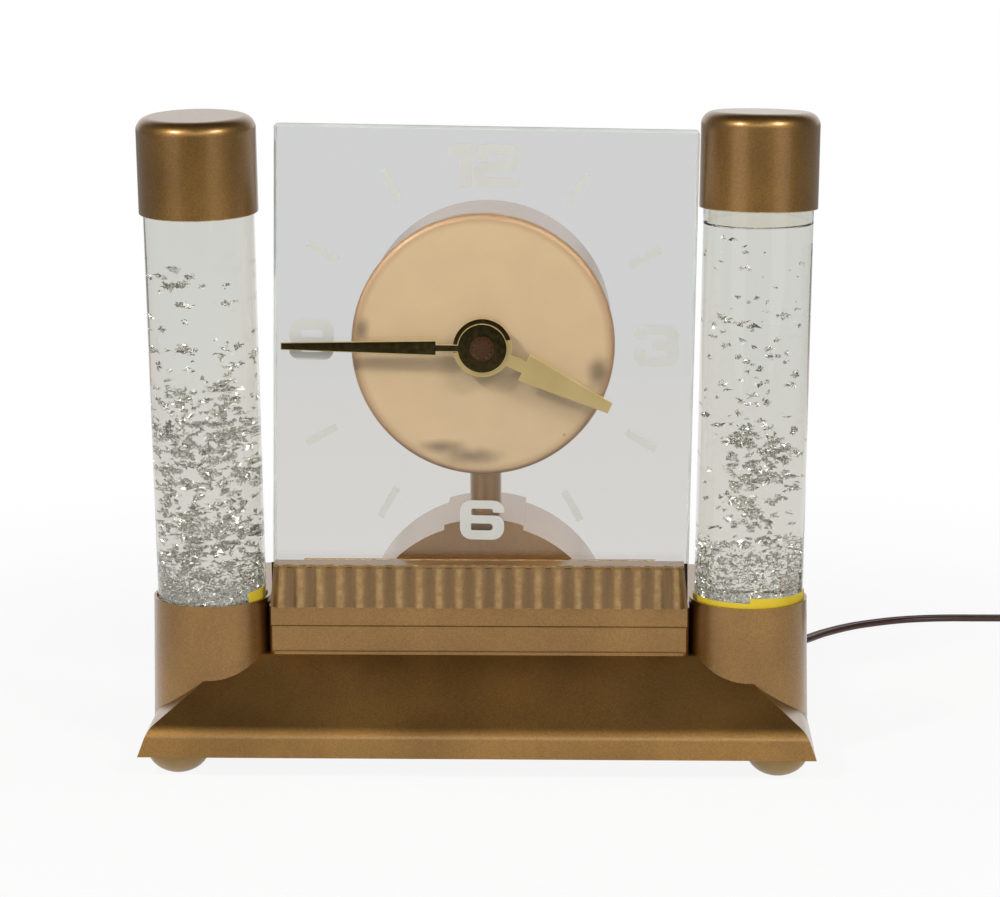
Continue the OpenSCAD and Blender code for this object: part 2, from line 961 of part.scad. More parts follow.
minute_neck = 3;
minute_root = 18.6;
minute_root_w = 6.2;
minute_tip_w = 3;
hour_boss = 12;
hour_neck = 4.9;
hour_root = 18.8;
hour_root_w = 11.6;
hour_tip_w = 4.6;
module minute_hand() {
    color(brass)
        hand_blade(minute_at, minute_boss, minute_neck, minute_root, minute_root_w, minute_tip_w,
                   minute_len, minute_q, tip_r);
}
module hour_hand() {
    color(brass)
        hand_blade(hour_at, hour_boss, hour_neck, hour_root, hour_root_w, hour_tip_w,
                   hour_len, hour_q, pipe_r);
}
nut_knurls = 12;
knurl_r = 0.5;
module hand_nut() {
    face = minute_q - nut_flange;
    color(copper)
        at_axis()
            difference() {
                union() {
                    bar_y(hand_nut_r, face, minute_q);
                    bar_y(dome_r, face - dome_h, face);
                    for (i = [0 : nut_knurls - 1])
                        rotate([0, i * 360 / nut_knurls, 0])
                            translate([dome_r, 0, 0])
                                bar_y(knurl_r, face - dome_h, face, $fn = 24);
                }
                bar_y(tip_r, face - dome_h - 1, minute_q + 1);
            }
}
module hour_wheel() {
    color(brass)
        at_axis()
            difference() {
                union() {
                    bar_y(pipe_r, hour_q, hour_wheel_q);
                    wheel(hour_n, mod_b, hour_wheel_q, hour_wheel_t, 0);
                }
                bar_y(pipe_bore, 0, base_d);
            }
}
mesh_side = 0.2;
stud_over = 1.5;
module minute_wheel() {
    color(brass)
        at_axis(pair_c) {
            bar_y(thin_r, plate_q, cannon_q + cannon_t + stud_over);
            wheel(minute_n, mod_a, cannon_q + mesh_side, cannon_t - 2 * mesh_side, 180 + 180 / minute_n);
            wheel(pinion_n, mod_b, hour_wheel_q - mesh_side, hour_wheel_t + 2 * mesh_side,
                  180 + 180 / pinion_n);
        }
}
module set_shaft() {
    color(steel)
        at_axis(pair_c, -pair_c) {
            bar_y(pivot_r, plate_q, case_end_q + knob_len);
            wheel(cannon_n, mod_a, cannon_q, cannon_t, 90);
        }
}
knob_gap = 1.5;
module set_knob() {
    face = case_end_q + knob_gap;
    color(dark)
        at_axis(pair_c, -pair_c)
            difference() {
                union() {
                    bar_y(knob_r, face, face + knob_len);
                    for (i = [0 : knob_ribs - 1])
                        rotate([0, i * 360 / knob_ribs, 0])
                            translate([knob_r, 0, 0])
                                bar_y(knob_rib_r, face, face + knob_len, $fn = 24);
                }
                bar_y(pivot_r, face - 1, case_end_q + knob_len);
            }
}
drive_over = 0.8;
drive_front = 3;
module drive_pinion() {
    color(steel)
        at_axis(drive_x, drive_z) {
            bar_y(thin_r, centre_q - drive_front, rear_plate_q + plate_t + rotor_bore_len - slip_gap);
            wheel(pinion_n, mod_c, centre_q - drive_over, centre_t + 2 * drive_over, 315 + 180 / pinion_n);
        }
}

// Lamps under the tubes
module bar_x(side, z, r, x0, x1, r_end = 0) {
    translate([side * x0, cup_y, z])
        rotate([0, side * 90, 0])
            cylinder(r1 = r, r2 = r_end > 0 ? r_end : r, h = x1 - x0);
}
module side_box(side, x0, x1, w, z0, z1) {
    translate([side > 0 ? x0 : -x1, cup_y - w / 2, z0])
        cube([x1 - x0, w, z1 - z0]);
}
module lamp_bracket(side) {
    color(steel) {
        side_box(side, bracket_x, bracket_x + bracket_foot, bracket_w, cover_z, cover_z + bracket_t);
        side_box(side, bracket_x, bracket_x + bracket_t, bracket_w, cover_z, cover_z + bracket_h);
    }
}
module lamp_socket(side) {
    x0 = bracket_x + bracket_t;
    color(brass)
        difference() {
            bar_x(side, lamp_z, socket_r, x0, x0 + socket_len);
            bar_x(side, lamp_z, socket_bore, x0 + socket_len - socket_depth, x0 + socket_len + 1);
        }
}
module lamp_bulb(side) {
    x1 = bracket_x + bracket_t + socket_len;
    color(clear) {
        bar_x(side, lamp_z, bulb_base_r, x1 - socket_depth, x1 + 2 * slip_gap);
        bar_x(side, lamp_z, bulb_base_r, x1 + slip_gap, bulb_neck_x, bulb_neck_r);
        translate([side * bulb_x, cup_y, lamp_z])
            sphere(r = bulb_r);
    }
}
module lamp_bracket_left() {
    lamp_bracket(-1);
}
module lamp_bracket_right() {
    lamp_bracket(1);
}
module lamp_socket_left() {
    lamp_socket(-1);
}
module lamp_socket_right() {
    lamp_socket(1);
}
module lamp_bulb_left() {
    lamp_bulb(-1);
}
module lamp_bulb_right() {
    lamp_bulb(1);
}

// Lamp switch on the rear wall
module at_switch(y) {
    translate([switch_x, y, switch_z])
        rotate([-90, 0, 0])
            children();
}
mouth_in = 0.9;
mouth_out = 0.95;
module switch_body() {
    inner_y = rear_y - wall;
    color(dark)
        difference() {
            union() {
                translate([switch_x - switch_w / 2, inner_y - switch_deep, switch_z - switch_h / 2])
                    cube([switch_w, switch_deep, switch_h]);
                at_switch(inner_y - 1)
                    cylinder(r = neck_r, h = neck_len + 1);
            }
            at_switch(lever_y)
                sphere(r = lever_ball + run_gap);
            at_switch(lever_y)
                cylinder(r1 = lever_ball * mouth_in, r2 = neck_r * mouth_out, h = neck_len);
            at_switch(lever_y)
                rotate([0, 90, 0])
                    cylinder(r = pin_r + run_gap, h = 3 * neck_r, center = true, $fn = 32);
        }
}
module switch_nut() {
    color(steel)
        at_switch(rear_y)
            difference() {
                cylinder(r = switch_nut_r, h = switch_nut_t, $fn = 6);
                translate([0, 0, -1])
                    cylinder(r = neck_r, h = switch_nut_t + 2);
            }
}
lever_root_r = 0.9;
module switch_lever() {
    color(steel)
        at_switch(lever_y)
            rotate([lever_rest, 0, 0]) {
                sphere(r = lever_ball);
                rotate([0, 90, 0])
                    cylinder(r = pin_r, h = 2 * pin_half, center = true, $fn = 32);
                cylinder(r1 = lever_root_r, r2 = lever_r, h = lever_len);
                translate([0, 0, lever_len])
                    sphere(r = lever_tip_r);
            }
}

// Tape liners in the cups and the pieces of each tube
liner_parts = 8;
module liner_ring(z0, z1, a0, a1) {
    intersection() {
        difference() {
            translate([0, 0, z0])
                cylinder(r = bore_r - liner_slack, h = z1 - z0);
            translate([0, 0, z0 - 1])
                cylinder(r = liner_r, h = z1 - z0 + 2);
        }
        linear_extrude(2 * big, center = true)
            polygon(concat(
                [[0, 0]],
                [
                    for (i = [0 : liner_parts])
                        let (a = a0 + (a1 - a0) * i / liner_parts)
                        2 * bore_r * [cos(a), sin(a)]
                ]
            ));
    }
}
left_tab = 4.6;
left_tab_from = 318;
left_tab_to = 350;
right_band = 1.2;
right_tab = 3.2;
right_from = 178;
right_step = 270;
right_to = 362;
module tube_liner_left() {
    color(yellow)
        at_tube(-1)
            liner_ring(liner_low, left_tab, left_tab_from, left_tab_to);
}
module tube_liner_right() {
    color(yellow)
        at_tube(1) {
            liner_ring(liner_low, right_band, right_from, right_step);
            liner_ring(liner_low, right_tab, right_step - 1, right_to);
        }
}
module tube_part(side, r, z0, z1) {
    at_tube(side)
        translate([0, 0, z0])
            cylinder(r = r, h = z1 - z0);
}
module glass_tube(side) {
    color(clear)
        difference() {
            tube_part(side, tube_r, tube_low, tube_top);
            tube_part(side, inner_r, tube_low + tube_floor, tube_top + 1);
        }
}
module tube_cap(side) {
    shoulder = cap_lift + cap_h - cap_round;
    color(bronze)
        at_tube(side)
            difference() {
                rotate_extrude() {
                    translate([0, cap_lift])
                        square([cap_r, cap_h - cap_round]);
                    translate([0, shoulder - 1])
                        square([cap_r - cap_round, cap_round + 1]);
                    translate([cap_r - cap_round, shoulder])
                        intersection() {
                            circle(r = cap_round);
                            square(cap_round);
                        }
                }
                translate([0, 0, cap_lift - 1])
                    cylinder(r = tube_r + cap_gap, h = tube_top - cap_lift + 1);
                translate([0, 0, tube_top - 1])
                    cylinder(r = inner_r, h = cap_lift + cap_h - cap_top_t - tube_top + 1);
            }
}
module glass_tube_left() {
    glass_tube(-1);
}
module glass_tube_right() {
    glass_tube(1);
}
module flake_bed_left() {
    color(silver)
        tube_part(-1, inner_r, tube_low + tube_floor, bed_top);
}
module flake_bed_right() {
    color(silver)
        tube_part(1, inner_r, tube_low + tube_floor, bed_top);
}
// The liquid's surface stays level in a leaning tube
module liquid(side, fill) {
    color(clear)
        intersection() {
            tube_part(side, inner_r, bed_top, fill + fill_tip);
            translate([-big / 2, -big / 2, rim_z + fill - big])
                cube([big, big, big]);
        }
}
module liquid_left() {
    liquid(-1, fill_left);
}
module liquid_right() {
    liquid(1, fill_right);
}
module stopper_left() {
    color(dark)
        tube_part(-1, inner_r, tube_top - stop_len, tube_top);
}
module stopper_right() {
    color(dark)
        tube_part(1, inner_r, tube_top - stop_len, tube_top);
}
module tube_cap_left() {
    tube_cap(-1);
}
module tube_cap_right() {
    tube_cap(1);
}

// Mains lead: sweep of a flat section along a list of points
function unit(v) = v / norm(v);
function curve_point(p0, p1, p2, p3, t) =
    0.5 * (2 * p1 + (p2 - p0) * t + (2 * p0 - 5 * p1 + 4 * p2 - p3) * t * t
        + (3 * p1 - p0 - 3 * p2 + p3) * t * t * t);
function smooth_route(pts, n) = concat(
    [
        for (i = [0 : len(pts) - 2], k = [0 : n - 1])
            curve_point(
                pts[max(i - 1, 0)], pts[i], pts[i + 1], pts[min(i + 2, len(pts) - 1)], k / n
            )
    ],
    [pts[len(pts) - 1]]
);
function heading(pts, i) = unit(pts[min(i + 1, len(pts) - 1)] - pts[max(i - 1, 0)]);
function sideways(d) = unit(cross(d, [0, 0, 1]));
function ring_of(pts, i, shape, first, last) =
    let (
        d = i == 0 ? first : i == len(pts) - 1 ? last : heading(pts, i),
        s = sideways(d),
        u = cross(s, d)
    )
    [for (p = shape) pts[i] + s * p[0] + u * p[1]];
module sweep(pts, shape, first, last) {
    n = len(shape);
    rings = len(pts);
    verts = [for (i = [0 : rings - 1]) each ring_of(pts, i, shape, first, last)];
    sides = [
        for (i = [0 : rings - 2], k = [0 : n - 1])
            let (a = i * n + k, b = i * n + (k + 1) % n)
            each [[a, a + n, b], [b, a + n, b + n]]
    ];
    ends = [
        [for (k = [0 : n - 1]) k],
        [for (k = [n - 1 : -1 : 0]) (rings - 1) * n + k]
    ];
    polyhedron(points = verts, faces = concat(sides, ends), convexity = 10);
}
lead_pts = smooth_route(route, route_steps);
module power_cord() {
    color(brown)
        sweep(lead_pts, lead_shape, [0, 1, 0], [1, 0, 0]);
}

// Coil: one unbroken tube, spiralling in on the floor layer and out on the layer above
coil_sweep = 2 * coil_turns * 360;
function ease(t) = t <= 0 ? 0 : t >= 1 ? 1 : t * t * (3 - 2 * t);
function coil_point(a) =
    let (
        half = coil_turns * 360,
        r = coil_out_r - coil_pitch * (half - abs(a - half)) / 360,
        z = coil_z + coil_layer * ease((a - half + 90) / 180)
    )
    [coil_x + r * cos(90 - a), coil_y + r * sin(90 - a), z];
coil_count = 2 * coil_turns * coil_rings;
coil_pts = concat(
    [[coil_x - lead_w, coil_y + coil_out_r, coil_z]],
    [for (i = [0 : coil_count]) coil_point(coil_sweep * i / coil_count)],
    [[coil_x + lead_w, coil_y + coil_out_r, coil_z + coil_layer]]
);
module cord_coil() {
    color(brown)
        sweep(coil_pts, coil_shape, [1, 0, 0], [1, 0, 0]);
}
// Least gap of the coil to itself, between the round lobes of turns at least half a turn apart
function lobe(i, s) =
    let (d = heading(coil_pts, i))
    coil_pts[i] + s * lobe_at * sideways(d);
coil_gap = min([
    for (i = [0 : len(coil_pts) - 1], j = [i + coil_rings / 2 : 1 : len(coil_pts) - 1])
        each [for (s = [-1, 1], t = [-1, 1]) norm(lobe(i, s) - lobe(j, t)) - 2 * lobe_r]
]);
echo(coil_gap = coil_gap);

grommet_lip = 2;
module bush_y(y, r1, r2, h) {
    translate([lead_x, y, lead_z])
        rotate([-90, 0, 0])
            cylinder(r1 = r1, r2 = r2, h = h);
}
module cord_grommet() {
    in_y = rear_y - wall;
    color(dark)
        difference() {
            union() {
                bush_y(in_y - grommet_lip, grommet_flange, grommet_flange, grommet_lip);
                bush_y(in_y - 1, grommet_r, grommet_r, wall + 2);
                bush_y(rear_y, grommet_flange, grommet_flange, grommet_lip);
                bush_y(rear_y + 1, grommet_r, grommet_end_r, grommet_out - 1);
            }
            bush_y(in_y - grommet_lip - 1, lobe_r, lobe_r, wall + grommet_lip + 1);
        }
}
module cord_tie() {
    color(dark)
        translate([coil_x, coil_y - tie_half, 0])
            difference() {
                translate([tie_in, 0, tie_low])
                    cube([tie_out - tie_in, 2 * tie_half, tie_top - tie_low]);
                translate([tie_in + tie_t, -1, tie_low + tie_t])
                    cube([tie_out - tie_in - 2 * tie_t, 2 * tie_half + 2, tie_top - tie_low - 2 * tie_t]);
            }
}
module at_plug() {
    translate([plug_x, coil_y + coil_out_r, plug_z])
        children();
}
module blade_box() {
    for (s = [-1, 1])
        translate([boot_len + plug_len - blade_root, s * blade_gap / 2 - blade_t / 2, -blade_w / 2])
            cube([blade_root + blade_len, blade_t, blade_w]);
}
module plug_body() {
    color(dark)
        at_plug()
            difference() {
                union() {
                    rotate([0, 90, 0])
                        cylinder(r1 = boot_end_r, r2 = boot_r, h = boot_len + 1);
                    translate([boot_len, -plug_w / 2, -plug_t / 2])
                        cube([plug_len, plug_w, plug_t]);
                }
                blade_box();
            }
}
module plug_blades() {
    color(brass)
        at_plug()
            blade_box();
}

base_shell();
base_cover();
feet();
foot_screws();
fluted_rail();
glass_cushion();
glass_back_rail();
dial_glass();
pedestal();
support_column();
column_nuts();
motor_case();
dial_disc();
glass_washer();
dial_nut();
front_plate();
rear_plate();
plate_pillars();
rotor_case();
stator_core();
field_coil();
core_posts();
minute_arbor();
minute_hand();
hand_nut();
hour_wheel();
hour_hand();
minute_wheel();
set_shaft();
set_knob();
drive_pinion();
lamp_bracket_left();
lamp_bracket_right();
lamp_socket_left();
lamp_socket_right();
lamp_bulb_left();
lamp_bulb_right();
switch_body();
switch_nut();
switch_lever();
tube_liner_left();
tube_liner_right();
glass_tube_left();
glass_tube_right();
liquid_left();
liquid_right();
flake_bed_left();
flake_bed_right();
stopper_left();
stopper_right();
tube_cap_left();
tube_cap_right();
cord_grommet();
power_cord();
cord_coil();
cord_tie();
plug_body();
plug_blades();
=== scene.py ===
import json
import math
import random

import bmesh
import bpy
from bpy.props import FloatProperty, FloatVectorProperty, IntProperty, PointerProperty
from mathutils import Matrix, Vector, noise


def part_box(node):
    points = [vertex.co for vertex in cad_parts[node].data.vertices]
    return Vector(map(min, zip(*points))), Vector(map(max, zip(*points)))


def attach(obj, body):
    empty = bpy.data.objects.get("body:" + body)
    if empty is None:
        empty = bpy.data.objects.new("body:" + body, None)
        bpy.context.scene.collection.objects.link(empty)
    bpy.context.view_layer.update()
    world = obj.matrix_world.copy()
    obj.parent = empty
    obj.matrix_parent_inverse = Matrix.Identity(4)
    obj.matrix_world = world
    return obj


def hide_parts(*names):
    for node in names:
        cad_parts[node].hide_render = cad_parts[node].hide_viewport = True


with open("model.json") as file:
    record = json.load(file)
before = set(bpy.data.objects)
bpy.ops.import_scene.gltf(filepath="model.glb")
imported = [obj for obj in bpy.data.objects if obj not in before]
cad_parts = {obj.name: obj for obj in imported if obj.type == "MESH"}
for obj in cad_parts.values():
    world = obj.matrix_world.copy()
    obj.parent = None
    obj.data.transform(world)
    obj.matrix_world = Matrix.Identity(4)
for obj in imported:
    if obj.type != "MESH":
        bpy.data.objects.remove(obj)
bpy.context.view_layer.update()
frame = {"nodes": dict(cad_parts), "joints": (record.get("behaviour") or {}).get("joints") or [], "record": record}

bl_info = {
    "name": "Motion clock",
    "version": (1, 0, 0),
    "blender": (4, 5, 0),
    "location": "View3D > Sidebar > Clock",
    "description": "Builds the pieces, finishes and stage of an electric motion clock",
    "category": "Add Mesh",
}

MM = 0.001
SIDES = ("left", "right")

# The lead's way from the grommet to the coil, as in the part's source
LEAD_ROUTE = (
    (0.092, 0.076, 0.0395), (0.0935, 0.089, 0.037), (0.098, 0.103, 0.028), (0.106, 0.117, 0.016),
    (0.117, 0.130, 0.007), (0.130, 0.142, 0.0026), (0.143, 0.155, 0.0016), (0.155, 0.1704, 0.0015),
    (0.1685, 0.1832, 0.0015), (0.1812, 0.191, 0.0015), (0.1939, 0.1966, 0.0015),
    (0.2064, 0.1996, 0.0015), (0.2187, 0.2008, 0.0015), (0.231, 0.2009, 0.0015),
    (0.250, 0.2006, 0.0017), (0.272, 0.2006, 0.0023), (0.2915, 0.2006, 0.0026),
)
COIL_CENTRE = (0.297, 0.1596)
COIL_RADIUS = 0.041
COIL_PITCH = 0.0064
COIL_TURNS = 3.5
COIL_Z = 0.0026
COIL_LAYER = 0.0042
COIL_STEPS = 36

# The fluted rail, as in the part's source
RAIL_FLUTES = 21
RAIL_ENDS = 0.32 * MM
RAIL_DEPTH = 1.89 * MM
RAIL_SHELF = 1.12 * MM
RAIL_LIP = 1.0 * MM
RAIL_DRAFT = 1.6 * MM
RAIL_STEPS = 16

# Its marks, as shares: painted shade at the bottom of a flute and a painted highlight on a crest
RAIL_PAINTED_SHADE = 0.6
RAIL_CREST_HIGHLIGHT = 0.35

# The glass plate's turn in degrees, as in the part's source
PLATE_TURN = 1.0

# Where the painted dark reflection of the room above stops on the hour hand's dished boss, from its axis
BOSS_SPLIT = Vector((0, 0, 0.8 * MM))
BOSS_UP = Vector((-0.23, 0, 0.97)).normalized()

# Soft dark patches on the dial disc: across and up from its centre, half width and half height, in mm
DIAL_DARK_PATCHES = (
    (-49.5, 6.0, 5.0, 7.5), (47.5, -11.0, 6.0, 11.0), (-17.0, -42.0, 14.0, 4.5),
    (-5.0, -46.0, 16.0, 5.0), (33.2, -37.0, 0.9, 0.9),
)

# Tubes: rounding of the foot and of the top edge, steps round, and how far under the liquid's surface
# the wall lets light out that came down through the surface
TUBE_FOOT = 2.0 * MM
TUBE_EDGE = 0.7 * MM
TUBE_STEPS = 128
SHOULDER = 9.0 * MM

# Clumps of flakes that hang in each tube: lowest and highest place over the cup's rim in mm, how many,
# least and most width in mm, spread over the tube's width, and shift to the right
CLUMPS = {
    "left": (
        (106, 141, 24, 1.0, 4.0, 1.0, 0.0), (84, 108, 46, 1.2, 5.0, 1.0, 0.0),
        (46, 86, 220, 1.5, 6.0, 1.0, 0.0), (33, 48, 50, 1.2, 5.0, 1.0, -0.1),
        (12, 35, 130, 1.5, 6.0, 1.0, 0.0)),
    "right": (
        (116, 150, 26, 0.6, 2.4, 0.9, -0.1), (70, 118, 70, 0.8, 3.4, 0.9, -0.15),
        (22, 72, 150, 1.2, 4.6, 0.5, 0.12), (22, 72, 40, 1.0, 4.0, 1.0, 0.0)),
}
# Each tube's settled heap: its top over the cup's rim in mm, and the seed of its random draws and noise
HEAP_TOP = {"left": 14.0, "right": 23.0}
SEED = {"left": 11, "right": 23}
HEAP_FLOOR = 3 * MM
HEAP_CRUMPLE = 1.2 * MM
CRUMPLES_PER_M = 260.0
# Least and most width of a chip in mm, and of a clump's middle chip as a share of the clump's width
HEAP_CHIP = (0.9, 2.3)
CLUMP_CHIP = (0.9, 2.9)
MIDDLE_CHIP = (0.7, 1.2)
# Spread of a chip's tilt in radians, and the room left along the tube's wall
CHIP_TILT = 0.9
FLAKE_GAP = 1.8 * MM

# The camera, as fitted to the photograph: lens and sensor in mm, place in m, turn in degrees
LENS = 117.34
SENSOR = 36.0
CAMERA_PLACE = (0.04943, -1.32527, 0.39122)
CAMERA_TURN = (78.62, 0.1765, 1.7485)

# Lamps: degrees round from the front and up, distance, width and height in m, and power in W
LAMPS = {
    "left": (-42, 36, 1.3, 0.1, 0.1, 6.8),
    "right": (42, 38, 1.3, 0.3, 0.3, 5.6),
    "front": (6, 30, 1.6, 1.0, 0.25, 2.0),
}
LAMP_TARGET = Vector((0, 0, 0.13))
GLOW = 0.7

# The floor's front and back edges and half its width in m
FLOOR_FRONT = -0.9
FLOOR_BACK = 20.0
FLOOR_SIDE = 9.0


def linear(hex_value):
    """An sRGB hex colour as linear red, green, blue and full alpha."""
    parts = [int(hex_value[i:i + 2], 16) / 255 for i in (1, 3, 5)]
    return tuple(p / 12.92 if p <= 0.04045 else ((p + 0.055) / 1.055) ** 2.4 for p in parts) + (1.0,)


def colour(name, description, hex_value):
    """A colour that a user may change."""
    return FloatVectorProperty(
        name=name, description=description, default=linear(hex_value), size=4,
        subtype="COLOR", min=0.0, max=1.0)


def length(name, description, default):
    """A length in metres that a user may change."""
    return FloatProperty(
        name=name, description=description, default=default, min=0.0, unit="LENGTH", precision=5)


class ClockSizes(bpy.types.PropertyGroup):
    """Sizes of what the solids don't carry"""
    lead_width: length("Lead width", "Width of the flat twin lead", 5.5 * MM)
    lead_thickness: length("Lead thickness", "Thickness of the flat twin lead", 2.8 * MM)
    digit_width: length("Digit width", "Width of one printed digit", 18.2 * MM)
    digit_height: length("Digit height", "Height of the 3, 6 and 9", 16.5 * MM)
    twelve_height: length("Twelve height", "Height of the 12", 17.5 * MM)
    bar_inner: length("Bar start", "Radius at which an hour bar starts", 68.5 * MM)
    bar_outer: length("Bar end", "Radius at which an hour bar ends", 82.5 * MM)
    bar_width: length("Bar width", "Width of an hour bar", 2.9 * MM)
    print_film: length("Print film", "Thickness of the printed paint on the glass", 0.05 * MM)
    edge: length("Edge", "Softening of the castings' edges", 0.35 * MM)
    meniscus: length("Meniscus", "Height that the liquid climbs at the tube's wall", 1.5 * MM)
    heap_chips: IntProperty(
        name="Heap chips", description="Chips of foil in the settled heap of each tube", default=3000, min=0,
        max=9000)


class ClockColours(bpy.types.PropertyGroup):
    """Colours of the finishes"""
    bronze_deep: colour("Bronze, deep", "Shaded tone of the bronze lacquer", "#8F6A36")
    bronze_light: colour("Bronze, light", "Lit tone of the bronze lacquer", "#A37A3F")
    # The rubbed colour paints edges brighter, for rubbed wear and as a painted highlight, and crests as a painted
    # highlight
    bronze_wear_and_highlight: colour("Bronze, rubbed", "Edges where the lacquer is rubbed bright", "#D9BC88")
    # The soiled colour is painted shade, laid in the bottoms of the rail's flutes
    bronze_painted_shade: colour("Bronze, soiled", "Grooves where dust dulls the lacquer", "#604D32")
    dial: colour("Dial disc", "Satin gold of the dial disc", "#C4AB84")
    dial_rim: colour("Dial rim", "Warmer tone on the disc's rounded rim", "#A88660")
    # This colour darkens a few soft patches on the dial disc, most of them near its edge
    dial_dark_patch: colour("Tarnish", "Stains on the dial disc", "#5E4A30")
    brass: colour("Brass", "Brass of hands and wheels", "#D8C088")
    brass_dark: colour("Brass, dark", "Darkened brass", "#C9B075")
    nut: colour("Hand nut", "Dark bronze of the hand nut", "#8C664B")
    glass: colour("Plate glass", "Tint of the glass plate", "#F7F6F5")
    ground: colour("Ground edge", "Ground edges of the glass plate", "#D9DEDA")
    print_white: colour("Print", "Printed hours", "#CBCBC4")
    liquid: colour("Liquid", "Tint of tube and liquid", "#F5F3EC")
    flake: colour("Flakes", "Bright metal flakes", "#D8D8D2")
    foot: colour("Feet", "Moulded feet", "#B89658")
    yellow: colour("Yellow strip", "Yellow packing strip", "#E3C416")
    lead: colour("Lead", "Brown mains lead", "#40251C")
    black: colour("Black parts", "Moulded black parts", "#1B1917")
    steel: colour("Steel", "Plated steel", "#B9BABC")
    floor: colour("Floor", "Pale floor", "#F2F2F0")


# Backdrop as it shows through glass, near the clock and far behind it
THROUGH_NEAR = linear("#DBDAD7")
THROUGH_FAR = linear("#DADCDC")
WHITE = (1.0, 1.0, 1.0, 1.0)


# Finishes

def feed(tree, socket, value):
    """Link a node's output to a socket, or set the socket to a plain value."""
    if isinstance(value, bpy.types.NodeSocket):
        tree.links.new(value, socket)
    else:
        socket.default_value = value


def node(tree, kind, sockets=None, **settings):
    """Add one shader node with its settings, and set or link its sockets."""
    made = tree.nodes.new("ShaderNode" + kind)
    for name, value in settings.items():
        setattr(made, name, value)
    for name, value in (sockets or {}).items():
        feed(tree, made.inputs[name], value)
    return made


def ramp(tree, value, low, high, start=0.0, end=1.0, smooth=False):
    """A value carried from low and high to start and end, straight or with soft ends."""
    return node(tree, "MapRange", {
        "Value": value, "From Min": low, "From Max": high, "To Min": start, "To Max": end},
        interpolation_type="SMOOTHSTEP" if smooth else "LINEAR").outputs[0]


def blend(tree, share, one, two, **settings):
    """A colour that goes from one to two by a share."""
    return node(tree, "Mix", {0: share, 6: one, 7: two}, data_type="RGBA", **settings).outputs[2]


def calc(tree, operation, *values, **settings):
    """An operation on numbers."""
    return node(tree, "Math", dict(enumerate(values)), operation=operation, **settings).outputs[0]


def vector(tree, operation, *values):
    """An operation on vectors; a length comes out as a number."""
    made = node(tree, "VectorMath", dict(enumerate(values)), operation=operation)
    return made.outputs["Value" if operation == "LENGTH" else "Vector"]


def cloudy(tree, place, across, detail):
    """Noise with features so many mm across."""
    return node(tree, "TexNoise", {
        "Vector": place, "Scale": 1 / (across * MM), "Detail": detail}).outputs["Fac"]


def relief(tree, height, depth, strength):
    """A bump depth mm high."""
    return node(tree, "Bump", {"Height": height, "Distance": depth * MM, "Strength": strength}).outputs[0]


def dress(tree, shader, **sockets):
    """Set or link a shader's sockets, named with _ for each space."""
    for name, value in sockets.items():
        feed(tree, shader.inputs[name.replace("_", " ")], value)


def blank(name, **sockets):
    """A new material with one principled shader."""
    made = bpy.data.materials.new(name)
    made.use_nodes = True
    tree = made.node_tree
    shader = tree.nodes["Principled BSDF"]
    dress(tree, shader, **sockets)
    return made, tree, shader


def show(tree, share, one, two):
    """Let a material show a mix of two shaders."""
    both = node(tree, "MixShader", {0: share, 1: one.outputs[0], 2: two.outputs[0]})
    tree.links.new(both.outputs[0], tree.nodes["Material Output"].inputs["Surface"])


def grained(name, dark, light, grain, depth, rough, **sockets):
    """A finish that drifts between two tones, with a relief grain mm across and depth mm high."""
    made, tree, shader = blank(name, **sockets)
    place = node(tree, "TexCoord").outputs["Object"]
    drift = cloudy(tree, place, 18, 5.0)
    grains = cloudy(tree, place, grain, 3.0)
    dress(tree, shader,
          Base_Color=blend(tree, ramp(tree, drift, 0.3, 0.7), dark, light),
          Roughness=ramp(tree, grains, 0.25, 0.75, rough - 0.06, rough + 0.06),
          Normal=relief(tree, grains, depth, 1.0))
    return made


def bronze_lacquer(c):
    # Metallic bronze lacquer sprayed on a zinc casting: a broad soft sheen, fine metal speckle,
    # slow age tones, edges painted brighter for rubbed wear and as a painted highlight, and painted shade in the
    # grooves
    made, tree, shader = blank("bronze_lacquer", Metallic=0.95, Coat_Weight=0.8, Coat_Roughness=0.21)
    place = node(tree, "TexCoord").outputs["Object"]
    cloud = cloudy(tree, place, 34, 2.0)
    tone = blend(tree, ramp(tree, cloud, 0.3, 0.7), c.bronze_deep, c.bronze_light)
    # flake in the lacquer is some 0.05 mm across; drawn at 0.4 mm so that it shows
    cells = node(tree, "TexVoronoi", {"Vector": place, "Scale": 1 / (0.4 * MM)}).outputs["Color"]
    speck = node(tree, "SeparateColor", {0: cells}).outputs[0]
    tone = blend(tree, 1.0, tone, ramp(tree, speck, 0.0, 1.0, 0.84, 1.16), blend_type="MULTIPLY")
    # painted shade in the bottoms of the rail's flutes
    painted_shade = node(tree, "Attribute", attribute_name="painted_shade").outputs["Fac"]
    tone = blend(tree, painted_shade, tone, c.bronze_painted_shade)
    # edges painted brighter for rubbed wear and as a painted highlight, crests as a painted highlight
    wear_and_highlight = node(tree, "Attribute", attribute_name="wear_and_highlight").outputs["Fac"]
    patch = ramp(tree, cloudy(tree, place, 3.5, 4.0), 0.42, 0.6, 0.35, 1.0)
    tone = blend(tree, calc(tree, "MULTIPLY", wear_and_highlight, patch), tone, c.bronze_wear_and_highlight)
    dress(tree, shader,
          Base_Color=tone,
          Roughness=ramp(tree, cloud, 0.3, 0.7, 0.37, 0.41),
          Normal=relief(tree, speck, 0.02, 0.5))
    return made


def clear(name, tint, ior, leaving=None):
    """Clear glass that lets the lamps through and bends light, by another index on the way out if given."""
    made, tree, shader = blank(name, Base_Color=tint, IOR=ior, Roughness=0.0, Transmission_Weight=1.0)
    if leaving:
        inside = node(tree, "NewGeometry").outputs["Backfacing"]
        dress(tree, shader, IOR=ramp(tree, inside, 0.0, 1.0, ior, leaving))
    path = node(tree, "LightPath").outputs
    show(tree, path["Is Shadow Ray"], shader, node(tree, "BsdfTransparent", {"Color": tint}))
    return made


